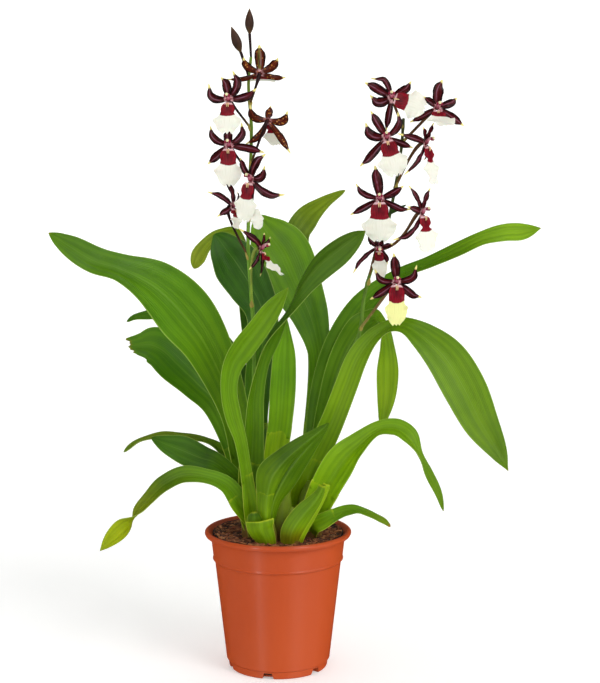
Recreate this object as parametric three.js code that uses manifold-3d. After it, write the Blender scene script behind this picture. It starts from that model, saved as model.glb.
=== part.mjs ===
// A potted odontonia orchid: a nursery pot of bark, a crown of sheathed bulbs, strap leaves and two spikes.
// Millimetres, +Z up, the origin at the centre of the pot's flat underside, the front towards -Y.
import * as THREE from "three";
import { mergeVertices } from "three/addons/utils/BufferGeometryUtils.js";
import Module from "manifold-3d";

const wasm = await Module();
wasm.setup();

// Pot
const potHeight = 114;
const potSegments = 32;
const rimRadius = 60;
const rimDepth = 6;
const rimRound = 2;
const rimLand = 2.4;
const wallTopRadius = 54.5;
const wallFootRadius = 41.8;
const wallThickness = 1.6;
const floorThickness = 2.4;
const collarDrop = 14;
const collarSlope = 2;
const collarStep = 1;
const footHeight = 6;
const footInset = 1.4;
const footBevel = 0.8;
const drainNotches = 10;
const drainNotchWidth = 10;
const drainNotchHeight = 4.5;
const drainNotchTaper = 1.4;
const drainNotchDepth = 10;

// Bark and what stands in it
const barkTop = 109;
const barkDome = 1.4;
const barkRelief = 0.75;
const barkRings = 6;
const barkSectors = 24;
const rootDepth = 10;
const bulbSides = 12;
const rhizomeRadius = 4;
const clearance = 0.35;

// Leaves
const leafThickness = 1.3;
const leafEdgeThickness = 0.95;
const leafStepsPerRow = 1.8;
const sheathSteps = 2;
const stumpSteps = 3;
const bluntHalfWidth = 0.7;

// Flower spikes and blooms
const rachisRadius = 1.9;
const rachisTaper = 0.6;
const rachisSteps = 15;
const rachisSides = 6;
const stalkRadius = 1.15;
const stalkSteps = 3;
const stalkSides = 4;
const stalkBehind = 7;
const stalkSag = 3;
const hubRadius = 3.2;
const columnReach = 6.5;
const columnRise = 4.5;
const columnFootRadius = 2.2;
const columnTipRadius = 1.6;
const tepalThickness = 1;
const tepalStart = 2;
const tepalBow = 1.2;
const lipThickness = 0.9;
const lipEdgeThickness = 0.8;
const lipStart = 2.4;
const lipSeat = 2.9;
const lipBow = 1.8;
const lipRuffle = 1.1;
const lipRuffles = 5;

const leafGreen = new THREE.Color(0.27, 0.46, 0.07);
const sheathGreen = new THREE.Color(0.38, 0.56, 0.1);
const plasticOrange = new THREE.Color(0.76, 0.3, 0.14);
const barkBrown = new THREE.Color(0.26, 0.13, 0.08);
const stalkGreen = new THREE.Color(0.33, 0.42, 0.12);
const maroon = new THREE.Color(0.24, 0.05, 0.09);
const budBrown = new THREE.Color(0.25, 0.13, 0.12);
const lipWhite = new THREE.Color(0.96, 0.95, 0.92);
const lipYellow = new THREE.Color(0.95, 0.93, 0.62);

const awayFromViewer = new THREE.Vector3(0, 1, 0);
const plant = new THREE.Group();

function toSolid(geometry) {
  geometry.deleteAttribute("normal");
  geometry.deleteAttribute("uv");
  const merged = mergeVertices(geometry, 1e-4);
  const mesh = new wasm.Mesh({
    numProp: 3,
    vertProperties: new Float32Array(merged.attributes.position.array),
    triVerts: new Uint32Array(merged.index.array),
  });
  return new wasm.Manifold(mesh);
}

// Corners that cutting left closer than this are one corner, and the slivers between them go
const weldDistance = 0.01;

function welded(solid) {
  const mesh = solid.getMesh();
  const loose = new THREE.BufferGeometry();
  loose.setAttribute("position", new THREE.BufferAttribute(new Float32Array(mesh.vertProperties), 3));
  loose.setIndex(new THREE.BufferAttribute(new Uint32Array(mesh.triVerts), 1));
  const geometry = mergeVertices(loose, weldDistance);
  const corners = geometry.index.array;
  const faces = new Map();
  for (let i = 0; i < corners.length; i += 3) {
    const face = [corners[i], corners[i + 1], corners[i + 2]];
    const key = [...face].sort().join();
    if (new Set(face).size < 3) {
      continue;
    }
    if (faces.has(key)) {
      faces.delete(key);
    } else {
      faces.set(key, face);
    }
  }
  geometry.setIndex([...faces.values()].flat());
  return geometry;
}

function addPiece(name, solid, color, roughness) {
  const geometry = welded(solid);
  geometry.computeVertexNormals();
  const piece = new THREE.Mesh(geometry, new THREE.MeshStandardMaterial({ color, roughness, metalness: 0 }));
  piece.name = name;
  plant.add(piece);
}

function join(solids) {
  return wasm.Manifold.union(solids);
}

// The one outer body: hollows that joining sealed are filled and loose scraps are dropped
function outerBody(solid) {
  return solid.decompose().reduce((best, part) => (part.volume() > best.volume() ? part : best));
}

function point(row) {
  return new THREE.Vector3(row[0], row[1], row[2]);
}

function smoothCurve(points) {
  return new THREE.CatmullRomCurve3(points, false, "catmullrom", 0.5);
}

function rowsLength(rows) {
  let length = 0;
  for (let i = 0; i + 1 < rows.length; i += 1) {
    length += point(rows[i]).distanceTo(point(rows[i + 1]));
  }
  return length;
}

// Faces that came out inside out are turned over
function facesSolid(vertices, faces) {
  const corner = (i) => new THREE.Vector3(vertices[3 * i], vertices[3 * i + 1], vertices[3 * i + 2]);
  let volume = 0;
  for (const [a, b, c] of faces) {
    volume += corner(a).dot(corner(b).cross(corner(c)));
  }
  const geometry = new THREE.BufferGeometry();
  geometry.setAttribute("position", new THREE.BufferAttribute(new Float32Array(vertices), 3));
  geometry.setIndex(faces.flatMap(([a, b, c]) => (volume > 0 ? [a, b, c] : [a, c, b])));
  return toSolid(geometry);
}

// A solid from equal rings of points, each ring closed on itself. Both halves of a ring, the front of a blade and
// its back, are split along the same diagonals, and the ends are closed by strips from one half to the other.
function ringSolid(rings) {
  const count = rings[0].length;
  const vertices = rings.flat().flatMap((p) => [p.x, p.y, p.z]);
  const faces = [];
  for (let i = 0; i + 1 < rings.length; i += 1) {
    for (let j = 0; j < count; j += 1) {
      const a = i * count + j;
      const b = i * count + ((j + 1) % count);
      if (j < count / 2) {
        faces.push([a, b, b + count], [a, b + count, a + count]);
      } else {
        faces.push([a, b, a + count], [b, b + count, a + count]);
      }
    }
  }
  const last = (rings.length - 1) * count;
  for (let j = 0; 2 * j + 2 < count; j += 1) {
    const far = count - 1 - j;
    faces.push([far, j + 1, j], [last + j, last + j + 1, last + far]);
    if (far - 1 > j + 1) {
      faces.push([far, far - 1, j + 1], [last + j + 1, last + far - 1, last + far]);
    }
  }
  return facesSolid(vertices, faces);
}

// A blade swept along rows of [x, y, z, half width, roll]. With no roll its face is turned against the view
// direction. The fold lifts both halves off the midrib, and both faces share one grid so they never cross.
function bladeSolid(rows, options) {
  const { from, to, steps, view, foldFrom, foldTo, thickness, edge, across, ruffle = 0 } = options;
  const rib = smoothCurve(rows.map(point));
  const size = smoothCurve(rows.map((row) => new THREE.Vector3(row[3], row[4], 0)));
  const rings = [];
  for (let i = 0; i <= steps; i += 1) {
    const t = from + ((to - from) * i) / steps;
    const centre = rib.getPoint(t);
    const tangent = rib.getTangent(t);
    const halfWidth = Math.max(size.getPoint(t).x, bluntHalfWidth);
    const turn = THREE.MathUtils.degToRad(size.getPoint(t).y);
    const side = new THREE.Vector3().crossVectors(tangent, view).normalize();
    const facing = new THREE.Vector3().crossVectors(tangent, side);
    const cross = side.clone().multiplyScalar(Math.cos(turn)).addScaledVector(facing, Math.sin(turn));
    const normal = new THREE.Vector3().crossVectors(tangent, cross);
    const fold = THREE.MathUtils.degToRad(foldTo + (foldFrom - foldTo) * (1 - t) ** 2);
    const front = [];
    const back = [];
    for (const u of across) {
      const wave = ruffle * u * u * Math.sin(lipRuffles * Math.PI * t + Math.sign(u));
      const lift = (Math.abs(u) - 0.5) * halfWidth * Math.sin(fold) + wave;
      const middle = centre.clone().addScaledVector(cross, u * halfWidth * Math.cos(fold));
      middle.addScaledVector(normal, lift);
      const skin = normal.clone().multiplyScalar(u === 0 ? 1 : Math.cos(fold));
      skin.addScaledVector(cross, -Math.sign(u) * Math.sin(fold));
      const half = (thickness + (edge - thickness) * Math.abs(u)) / 2;
      front.push(middle.clone().addScaledVector(skin, half));
      back.unshift(middle.clone().addScaledVector(skin, -half));
    }
    rings.push(front.concat(back));
  }
  return ringSolid(rings);
}

// A round stem of steady or tapering radius along a curve
function stemSolid(curve, steps, sides, startRadius, endRadius) {
  const slantedView = new THREE.Vector3(0.3, 1, 0.2);
  const rings = [];
  for (let i = 0; i <= steps; i += 1) {
    const t = i / steps;
    const centre = curve.getPoint(t);
    const tangent = curve.getTangent(t);
    const side = new THREE.Vector3().crossVectors(tangent, slantedView).normalize();
    const other = new THREE.Vector3().crossVectors(tangent, side);
    const radius = startRadius + (endRadius - startRadius) * t;
    const ring = [];
    for (let j = 0; j < sides; j += 1) {
      const angle = (2 * Math.PI * j) / sides;
      const spoke = side.clone().multiplyScalar(radius * Math.cos(angle));
      spoke.addScaledVector(other, radius * Math.sin(angle));
      ring.push(spoke.add(centre));
    }
    rings.push(ring);
  }
  return ringSolid(rings);
}

// A turned geometry from a profile of [radius, height], standing along +Z
function turned(profile, segments) {
  const geometry = new THREE.LatheGeometry(profile.map(([r, z]) => new THREE.Vector2(r, z)), segments);
  geometry.rotateX(Math.PI / 2);
  return geometry;
}

function wallRadius(z) {
  return wallFootRadius + ((wallTopRadius - wallFootRadius) * z) / potHeight;
}

function drainNotchSolid(index) {
  const notch = new THREE.Shape();
  const halfTop = drainNotchWidth / 2 - drainNotchTaper;
  notch.moveTo(-drainNotchWidth / 2, -1);
  notch.lineTo(drainNotchWidth / 2, -1);
  notch.lineTo(halfTop, drainNotchHeight);
  notch.lineTo(-halfTop, drainNotchHeight);
  const cut = new THREE.ExtrudeGeometry(notch, { depth: drainNotchDepth, bevelEnabled: false, steps: 1 });
  cut.rotateX(Math.PI / 2);
  cut.translate(0, drainNotchDepth - wallFootRadius - 3.5, 0);
  cut.rotateZ((2 * Math.PI * (index + 0.5)) / drainNotches);
  return toSolid(cut);
}

// The pot: rolled rim, collar step, tapered wall, foot, flat floor and drain notches round the foot
function potSolid() {
  const collarZ = potHeight - collarDrop;
  const rimBottom = potHeight - rimDepth;
  const rimInside = potHeight - 4;
  const outside = [
    [0, 0],
    [wallRadius(0) - footInset - footBevel, 0],
    [wallRadius(0) - footInset, footBevel],
    [wallRadius(footHeight) - footInset, footHeight],
    [wallRadius(footHeight), footHeight + 1],
    [wallRadius(collarZ - collarSlope), collarZ - collarSlope],
    [wallRadius(collarZ) + collarStep, collarZ],
    [wallRadius(rimBottom) + collarStep, rimBottom],
    [rimRadius - 0.7, rimBottom],
    [rimRadius, rimBottom + 2.4],
    [rimRadius - 0.6, potHeight - 1.2],
    [rimRadius - rimRound, potHeight],
  ];
  const inside = [
    [rimRadius - rimRound - rimLand, potHeight - 0.6],
    [wallRadius(rimInside) - wallThickness + collarStep, rimInside],
    [wallRadius(collarZ - collarSlope) - wallThickness, collarZ - collarSlope],
    [wallRadius(footHeight) - wallThickness - footInset, footHeight],
    [wallRadius(footHeight) - wallThickness - footInset - 1.2, floorThickness],
    [0, floorThickness],
  ];
  const notches = Array.from({ length: drainNotches }, (_, i) => drainNotchSolid(i));
  return toSolid(turned(outside.concat(inside), potSegments)).subtract(join(notches));
}

// Bulbs: the place, greatest radius, flatness front to back and top of each
const bulbs = [
  { x: -19, y: -10, radius: 13, flat: 0.8, top: 156 },
  { x: -9, y: -34, radius: 10.5, flat: 0.85, top: 136 },
  { x: 4, y: -20, radius: 10, flat: 0.8, top: 172 },
  { x: 25, y: -10, radius: 13.5, flat: 0.8, top: 156 },
  { x: 12, y: -34, radius: 8.4, flat: 0.85, top: 140 },
];
const bulbTies = [[0, 2], [1, 2], [2, 3], [2, 4]];

function bulbSolid(bulb, grow) {
  const z = (share) => barkTop + (bulb.top - barkTop) * share;
  const bottom = barkTop - rootDepth - grow;
  const shape = [[0.8, 0], [0.86, 0.1], [0.8, 0.4], [0.52, 0.8]];
  const profile = shape.map(([r, share]) => [bulb.radius * r + grow, share > 0 ? z(share) : bottom]);
  const geometry = turned([[0, bottom], ...profile, [0, z(1) + grow]], bulbSides);
  geometry.scale(1, bulb.flat, 1);
  geometry.translate(bulb.x, bulb.y, 0);
  return toSolid(geometry);
}

// The creeping rhizome that ties the bulbs together, half sunk in the bark
function rhizomeSolids(radius) {
  const middle = (bulb) => new THREE.Vector3(bulb.x, bulb.y, barkTop - rhizomeRadius / 2);
  return bulbTies.map(([a, b]) => {
    const line = new THREE.LineCurve3(middle(bulbs[a]), middle(bulbs[b]));
    return stemSolid(line, 1, 6, radius, radius);
  });
}

function barkHeight(x, y, share) {
  const chips = Math.sin(0.83 * x + 1.7) * Math.sin(0.71 * y + 0.4) + 0.6 * Math.sin(1.9 * x - 1.3 * y);
  return barkTop - barkDome * share ** 2 + barkRelief * chips;
}

// Bark with a rough top of chips, inside the pot, with a plain hole where each growth stands
function barkSolid() {
  const inset = wallThickness + clearance;
  const topRadius = wallRadius(barkTop) - inset - 0.6;
  const rings = [];
  for (let i = 1; i <= barkRings; i += 1) {
    const share = i / barkRings;
    rings.push({ radius: topRadius * share, z: (x, y) => barkHeight(x, y, share) });
  }
  const floorZ = floorThickness + clearance;
  rings.push({ radius: wallRadius(footHeight) - inset - footInset, z: () => footHeight + 0.5 });
  rings.push({ radius: wallRadius(footHeight) - inset - footInset - 1.8, z: () => floorZ });
  const vertices = [];
  const faces = [];
  for (const ring of rings) {
    for (let j = 0; j < barkSectors; j += 1) {
      const x = ring.radius * Math.cos((2 * Math.PI * j) / barkSectors);
      const y = ring.radius * Math.sin((2 * Math.PI * j) / barkSectors);
      vertices.push(x, y, ring.z(x, y));
    }
  }
  const top = vertices.length / 3;
  const bottom = top + 1;
  vertices.push(0, 0, barkHeight(0, 0, 0), 0, 0, floorZ);
  const last = (rings.length - 1) * barkSectors;
  for (let j = 0; j < barkSectors; j += 1) {
    const k = (j + 1) % barkSectors;
    faces.push([top, j, k], [bottom, last + k, last + j]);
    for (let a = 0; a < last; a += barkSectors) {
      faces.push([a + j, a + barkSectors + j, a + barkSectors + k], [a + j, a + barkSectors + k, a + k]);
    }
  }
  const holes = bulbs.map((bulb) => bulbSolid(bulb, clearance));
  holes.push(...rhizomeSolids(rhizomeRadius + clearance));
  return facesSolid(vertices, faces).subtract(join(holes));
}

// Leaves: rows of [x, y, z, half width, roll] from the crown out to the tip. sheathEnds is the row where
// the sheath gives way to the blade, and the folds are angles of each half off the midrib.
const leaves = [
  {
    name: "leaf_left_long", sheathEnds: 2.2, foldAtBase: 35, foldAtTip: 12,
    rows: [
      [-20.6, -6.1, 107, 6, 0], [-25, 3, 137, 8.5, 0], [-31, 3, 175, 9, 5], [-37, 0, 216, 13.5, 10],
      [-56, -8, 264, 20.5, 20], [-75, -16, 293, 25.5, 25], [-96, -24, 315, 22, 30],
      [-121, -32, 329, 13.5, 35], [-142, -36, 336, 12.5, 35], [-160, -40, 347, 9.5, 30],
      [-176, -44, 358, 2, 20],
    ],
  },
  {
    name: "leaf_left_torn", sheathEnds: 2.2, foldAtBase: 35, foldAtTip: 12,
    rows: [
      [-20.6, -5.6, 109.5, 6, 0], [-27, 15, 134, 8.5, 0], [-35, 17, 174, 10, 5],
      [-50, 22, 212, 13, 10], [-68, 28, 231, 15.5, 15], [-84, 32, 246, 18.5, 20],
      [-95, 36, 256, 17.5, 22], [-105, 38, 261, 16, 25], [-115, 39, 261, 10.5, 25],
      [-124, 39, 260, 7, 25],
    ],
  },
  {
    name: "leaf_left_back", sheathEnds: 2.3, foldAtBase: 35, foldAtTip: 15,
    rows: [
      [-19, -5.5, 109.9, 6, 0], [-22, 32, 131, 8, 0], [-27, 36, 181, 8.5, 10],
      [-33, 40, 231, 9.5, 15], [-42, 44, 257, 7.5, 25], [-66, 50, 277, 8, 35],
      [-96, 54, 285, 6.5, 40], [-112, 57, 284, 4.5, 40], [-122, 60, 282, 3, 35],
      [-129, 62, 278, 1, 30],
    ],
  },
  {
    name: "leaf_left_arched", sheathEnds: 2.3, foldAtBase: 30, foldAtTip: 15,
    rows: [
      [-20.1, -5.6, 110.2, 6, 0], [-24, 22, 129, 7.5, 0], [-31, 25, 156, 7.5, 20],
      [-48, 29, 174, 7, 60], [-61, 32, 181, 5, 70], [-79, 37, 183, 5.5, 72],
      [-97, 42, 184, 5.5, 72], [-115, 50, 179, 4.5, 70], [-126, 56, 172, 3.5, 60],
      [-133, 60, 166, 1, 50],
    ],
  },
  {
    name: "leaf_left_short", sheathEnds: 2.4, foldAtBase: 35, foldAtTip: 12,
    rows: [
      [-20.1, -10.6, 108.2, 6, 0], [-21, -8, 127, 7.5, 0], [-28, -9, 146, 8, 10],
      [-38, -12, 161, 8, 20], [-50, -16, 172, 8.5, 25], [-62, -20, 177, 11, 28],
      [-76, -25, 184, 12, 30], [-89, -30, 190, 7.5, 30], [-100, -34, 196, 1, 20],
    ],
  },
  {
    name: "leaf_left_low", sheathEnds: 2.4, foldAtBase: 35, foldAtTip: 10,
    rows: [
      [-18.4, -12.2, 107, 6, 0], [-18, -16, 121, 7.5, 0], [-30, -21, 140, 9, 15],
      [-41, -26, 156, 7.5, 30], [-57, -32, 164, 7, 45], [-74, -40, 167, 8.5, 45],
      [-89, -48, 161, 8.5, 45], [-100, -54, 151, 7, 50], [-108, -58, 142, 9.5, 75],
      [-117, -61, 132, 12, 125], [-127, -65, 123, 8, 145], [-137, -68, 113, 1, 150],
    ],
  },
  {
    name: "leaf_back_hanging", sheathEnds: 2.2, foldAtBase: 35, foldAtTip: 12,
    rows: [
      [-16.8, -5.5, 109.2, 6, 0], [-14, 34, 147, 6, 0], [-17, 52, 212, 7.5, 0],
      [-25, 67, 279, 8.5, 10], [-31, 80, 327, 8, 30], [-38, 94, 350, 8, 60],
      [-51, 99, 350, 7.5, 60], [-62, 102, 342, 8, 45], [-70, 105, 331, 8.5, 30],
      [-75, 107, 320, 3, 20],
    ],
  },
  {
    name: "leaf_back_dark", sheathEnds: 2.3, foldAtBase: 30, foldAtTip: 12,
    rows: [
      [-17.9, -5.6, 109.5, 6, 0], [-17, 14, 135, 7.5, 0], [-18, 20, 184, 9, 0],
      [-17, 28, 229, 11.5, 0], [-13, 36, 265, 12.5, -5], [-14, 44, 290, 15, -5],
      [-24, 52, 310, 19.5, -5], [-35, 58, 327, 21, -3], [-44, 61, 339, 15.5, 0],
      [-50, 64, 347, 9.5, 5], [-55, 66, 352, 1.5, 0],
    ],
  },
  {
    name: "leaf_back_broad", sheathEnds: 2.3, foldAtBase: 30, foldAtTip: 10,
    rows: [
      [22.2, -7.2, 109.9, 6, 0], [16, 18, 134, 11, 0], [22, 26, 159, 10, 0], [29, 32, 182, 9, 0],
      [33, 41, 214, 9.5, 0], [34, 52, 251, 9.5, 0], [27, 60, 282, 16, 0], [16, 66, 307, 21.5, 5],
      [4, 72, 334, 24.5, 8], [-7, 77, 349, 20, 8], [-14, 80, 359, 12, 4], [-19, 82, 368, 2.5, 0],
    ],
  },
  {
    name: "leaf_back_pointed", sheathEnds: 2.1, foldAtBase: 30, foldAtTip: 12,
    rows: [
      [21.1, -6.7, 110.2, 6, 0], [19, 39, 129, 6, 0], [28, 60, 185, 7.5, 0], [32, 80, 252, 8, 0],
      [20, 94, 307, 11.5, 0], [15, 104, 345, 11, 0], [23, 112, 363, 11, 0], [39, 118, 377, 6, 0],
      [58, 124, 388, 1.5, 0],
    ],
  },
  {
    name: "leaf_centre_twisted", sheathEnds: 2.2, foldAtBase: 35, foldAtTip: 14,
    rows: [
      [-17.9, -12.2, 106.6, 6, 0], [-21, -14, 131, 11.5, 0], [-21, -18, 167, 11.5, 5],
      [-19, -22, 200, 9, 15], [-18, -26, 226, 9, 40], [-13, -30, 253, 10.5, 60],
      [-4, -34, 276, 16, 75], [9, -38, 296, 10.5, 95], [21, -42, 316, 9.5, 130],
      [34, -46, 332, 11.5, 145], [49, -50, 345, 11, 150], [64, -54, 356, 7, 155],
      [74, -57, 364, 1.5, 155],
    ],
  },
  {
    name: "leaf_front_pale", sheathEnds: 2.2, foldAtBase: 35, foldAtTip: 14,
    rows: [
      [-17.4, -13.3, 107, 6, 0], [-20, -24, 131, 7.5, 0], [-24, -28, 160, 5.5, 10],
      [-29, -32, 192, 5.5, 15], [-35, -36, 214, 7, 15], [-38, -40, 235, 7, 20],
      [-35, -44, 254, 8.5, 20], [-26, -48, 269, 10, 15], [-14, -52, 285, 9, 10],
      [-2, -56, 302, 7, 5], [9, -60, 317, 1, 0],
    ],
  },
  {
    name: "leaf_centre_upright", sheathEnds: 2.7, foldAtBase: 35, foldAtTip: 12,
    rows: [
      [-15.7, -7.8, 107, 6, 0], [-8, 4, 137, 7.5, 0], [-2, 8, 174, 10, 0], [2, 10, 202, 10.5, 0],
      [4, 12, 231, 11, 5], [5, 14, 256, 9.5, 8], [6, 15, 272, 5, 8], [6, 16, 286, 1.5, 8],
    ],
  },
  {
    name: "leaf_right_long", sheathEnds: 2.3, foldAtBase: 30, foldAtTip: 10,
    rows: [
      [24.4, -6.7, 109.5, 6, 0], [25, 17, 130, 7.5, 0], [30, 22, 175, 9, -5],
      [36, 27, 220, 10.5, -10], [50, 34, 259, 13.5, -20], [70, 42, 293, 12, -35],
      [99, 50, 317, 8.5, -58], [126, 54, 328, 9.5, -62], [149, 57, 338, 10.5, -60],
      [170, 60, 348, 8, -45], [189, 63, 353, 8, -30], [206, 66, 354, 7.5, -25],
      [222, 68, 357, 1, -20],
    ],
  },
  {
    name: "leaf_right_folded", sheathEnds: 2.3, foldAtBase: 30, foldAtTip: 12,
    rows: [
      [25.6, -8.9, 107.6, 6, 0], [29, 8, 132, 7.5, 0], [33, 8, 174, 8, 0], [41, 8, 215, 9.5, -5],
      [52, 8, 251, 11.5, -10], [66, 10, 276, 12.5, -20], [78, 14, 286, 11.5, -60],
      [85, 19, 279, 13.5, -75], [89, 22, 263, 8.5, -45], [90, 23, 240, 9.5, -15],
      [89, 22, 217, 7.5, -5], [85, 21, 192, 1.5, 0],
    ],
  },
  {
    name: "leaf_right_broad", sheathEnds: 2.2, foldAtBase: 35, foldAtTip: 10,
    rows: [
      [22.2, -11.1, 107.9, 6, 0], [19, -4, 132, 11.5, 0], [28, -7, 168, 12, 0],
      [43, -10, 202, 10.5, -5], [54, -13, 231, 10, -10], [64, -16, 257, 9.5, -20],
      [76, -19, 274, 8, -40], [89, -23, 283, 8, -60], [101, -28, 284, 8, -40],
      [115, -34, 276, 12, -20], [132, -40, 260, 16.5, -12], [146, -47, 237, 17.5, -8],
      [158, -53, 212, 14.5, -5], [170, -58, 192, 8.5, 0], [179, -63, 175, 1, 0],
    ],
  },
  {
    name: "leaf_right_arching", sheathEnds: 2.1, foldAtBase: 40, foldAtTip: 14,
    rows: [
      [26.1, -12.2, 106.6, 6, 0], [27, -18, 126, 11, 0], [38, -26, 153, 14, -10],
      [51, -32, 176, 14.5, -20], [64, -38, 191, 11, -40], [79, -44, 204, 8.5, -60],
      [93, -50, 206, 9.5, -55], [103, -55, 200, 9.5, -50], [111, -58, 186, 6.5, -70],
      [118, -61, 172, 4.5, -35], [125, -64, 158, 3, -10], [129, -66, 144, 1, 0],
    ],
  },
  {
    name: "leaf_right_small", sheathEnds: 2.9, foldAtBase: 35, foldAtTip: 12,
    rows: [
      [25, -11.1, 107, 6, 0], [27, -24, 121, 7.5, 0], [36, -29, 127, 7, -15],
      [47, -34, 134, 5.5, -30], [56, -38, 138, 5, -45], [65, -42, 139, 4, -50],
      [75, -46, 136, 3.5, -50], [84, -49, 132, 2.5, -40], [89, -51, 128, 1, -30],
    ],
  },
  {
    name: "leaf_front_folded", sheathEnds: 2.2, foldAtBase: -40, foldAtTip: -30,
    rows: [
      [-8, -33, 106, 6, 0], [-10, -36, 115, 9, 0], [-8, -38, 138, 12.5, 0], [-3, -41, 156, 14, 0],
      [6, -44, 169, 13, 0], [17, -46, 182, 9.5, 0], [28, -48, 196, 5.5, 0], [40, -50, 210, 1, 0],
    ],
  },
];

// Cut sheath stumps at the front of the crown, in the same form as the leaves
const stumps = [
  {
    foldAtBase: -30,
    foldAtTip: -20,
    rows: [[-7, -38, 108, 4, 0], [-10, -41, 117, 8, 0], [-13, -43, 125, 11, 0], [-14, -44, 131, 12, 0]],
  },
  {
    foldAtBase: -20,
    foldAtTip: -40,
    rows: [
      [11, -34, 109, 4, 0], [11, -39, 122, 9.5, 0], [20, -41, 135, 9.5, 0], [29, -42, 146, 7, 0],
      [34, -43, 154, 4.5, 0], [36, -43, 159, 4, 0],
    ],
  },
];

function leafSolid(leaf, from, to, steps) {
  return bladeSolid(leaf.rows, {
    from,
    to,
    steps,
    view: awayFromViewer,
    foldFrom: leaf.foldAtBase,
    foldTo: leaf.foldAtTip,
    thickness: leafThickness,
    edge: leafEdgeThickness,
    across: [-1, 0, 1],
  });
}

function sheathShare(leaf) {
  return leaf.sheathEnds / (leaf.rows.length - 1);
}

// Flower spikes: the rachis points, and for each bloom its place, the way it faces, the height where its
// stalk leaves the rachis, five tepals of [angle, reach, lift] from the dorsal one, and the lip's own three.
// Yaw 0 faces the front and 90 the right, nod bends the face down, angles turn clockwise from the top.
const spikes = [
  {
    name: "left",
    carriesBuds: true,
    rachis: [
      [-19, -9, 126], [-18, -4, 152], [-19, -8, 190], [-19, -12, 235], [-19, -14, 279], [-21, -16, 311],
      [-23, -18, 350], [-21, -20, 400], [-20, -21, 440], [-22, -22, 472], [-20, -22, 493],
    ],
    blooms: [
      {
        at: [-13, -32, 480], yaw: 170, nod: -25, stalkFrom: 457,
        tepals: [[-5, 24, -2], [37, 17, -3], [-47, 21, -3], [97, 26, -3], [-96, 21, -3]],
        lip: [180, 14, 18],
      },
      {
        at: [-37, -34, 460], yaw: -10, nod: 5, stalkFrom: 438,
        tepals: [[-12, 17, -3], [18, 21, -2], [-73, 20, -3], [80, 24, -3], [-160, 26, -4]],
        lip: [180, 25, 6],
      },
      {
        at: [-7, -33, 444], yaw: 165, nod: -12, stalkFrom: 410,
        tepals: [[-5, 14, 2], [47, 18, -3], [-68, 19, -3], [134, 26, -2], [-145, 31, -3]],
        lip: [185, 22, 12],
      },
      {
        at: [-37, -33, 425], yaw: -8, nod: 5, stalkFrom: 402,
        tepals: [[-3, 12, -3], [-53, 20, -2], [42, 19, -2], [-130, 23, -3], [102, 28, -3]],
        lip: [180, 31, 0],
      },
      {
        at: [-20, -44, 399], yaw: -25, nod: 5, stalkFrom: 367,
        tepals: [[28, 23, -3], [-30, 19, -3], [55, 15, -3], [-165, 16, -5], [119, 30, -3]],
        lip: [188, 32, 2],
      },
      {
        at: [-35, -25, 378], yaw: 60, nod: 5, stalkFrom: 337,
        tepals: [[0, 19, -8], [-65, 26, -7], [60, 20, -7], [-110, 18, -3], [140, 20, -5]],
        lip: [190, 17, 4],
      },
      {
        at: [-13, -30, 345], yaw: 70, nod: 30, stalkFrom: 299,
        tepals: [[-5, 13, 2], [-60, 22, -12], [40, 16, 0], [-140, 22, 3], [150, 25, 5]],
        lip: [180, 18, 19],
      },
    ],
  },
  {
    name: "right",
    rachis: [
      [27, -9, 128], [32, -3, 150], [38, -1, 188], [45, -2, 221], [55, -2, 252], [66, -3, 276], [69, -5, 302],
      [74, -8, 324], [85, -12, 355], [91, -14, 381], [97, -16, 418], [99, -18, 446],
    ],
    blooms: [
      {
        at: [89, -30, 462], yaw: -5, nod: 5, stalkFrom: 440,
        tepals: [[-31, 21, -4], [-60, 24, -3], [60, 19, -4], [-95, 17, -2], [-170, 27, -3]],
        lip: [107, 26, 4],
      },
      {
        at: [124, -28, 454], yaw: 15, nod: 5, stalkFrom: 427,
        tepals: [[10, 22, -3], [-50, 13, -4], [72, 19, -3], [-119, 24, -3], [120, 28, -3]],
        lip: [180, 12, 20],
      },
      {
        at: [85, -35, 431], yaw: -5, nod: 5, stalkFrom: 410,
        tepals: [[-32, 24, -3], [-61, 20, -3], [31, 21, -3], [-139, 31, -3], [112, 22, -3]],
        lip: [173, 30, 0],
      },
      {
        at: [115, -30, 427], yaw: 60, nod: 5, stalkFrom: 392,
        tepals: [[0, 16, 6], [-40, 16, 2], [-78, 28, -11], [-145, 31, -7], [140, 18, -5]],
        lip: [178, 31, 8],
      },
      {
        at: [80, -32, 384], yaw: -5, nod: 8, stalkFrom: 363,
        tepals: [[-11, 26, -3], [-64, 22, -3], [62, 21, -3], [-120, 27, -3], [117, 26, -3]],
        lip: [180, 33, 2],
      },
      {
        at: [113, -28, 373], yaw: 50, nod: 5, stalkFrom: 343,
        tepals: [[10, 20, 4], [-35, 26, -4], [-72, 15, -4], [-140, 32, -9], [150, 20, -4]],
        lip: [180, 30, 5],
      },
      {
        at: [80, -19, 346], yaw: 5, nod: 46, stalkFrom: 316,
        tepals: [[0, 10, 1], [-40, 15, -4], [60, 12, 2], [-115, 24, 16], [126, 17, 6]],
        lip: [180, 16, 18],
      },
      {
        at: [93, -38, 320], yaw: 5, nod: 8, stalkFrom: 279, yellowLip: true,
        tepals: [[-6, 22, -3], [-70, 19, -3], [64, 20, -3], [-127, 25, -3], [130, 25, -3]],
        lip: [180, 34, 2],
      },
    ],
  },
];

// Closed buds: where the stalk leaves the rachis, base point, tip point and greatest radius
const buds = [
  { name: "bud_upper", from: [-20, -22, 493], base: [-21, -22, 511], tip: [-21, -22, 530], radius: 3.7 },
  { name: "bud_lower", from: [-22, -22, 478], base: [-28, -24, 497], tip: [-35, -24, 516], radius: 3.9 },
];
const budShape = [[0, 0], [0.35, 0.03], [0.85, 0.22], [1, 0.42], [0.8, 0.65], [0.38, 0.86], [0, 1]];

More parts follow.
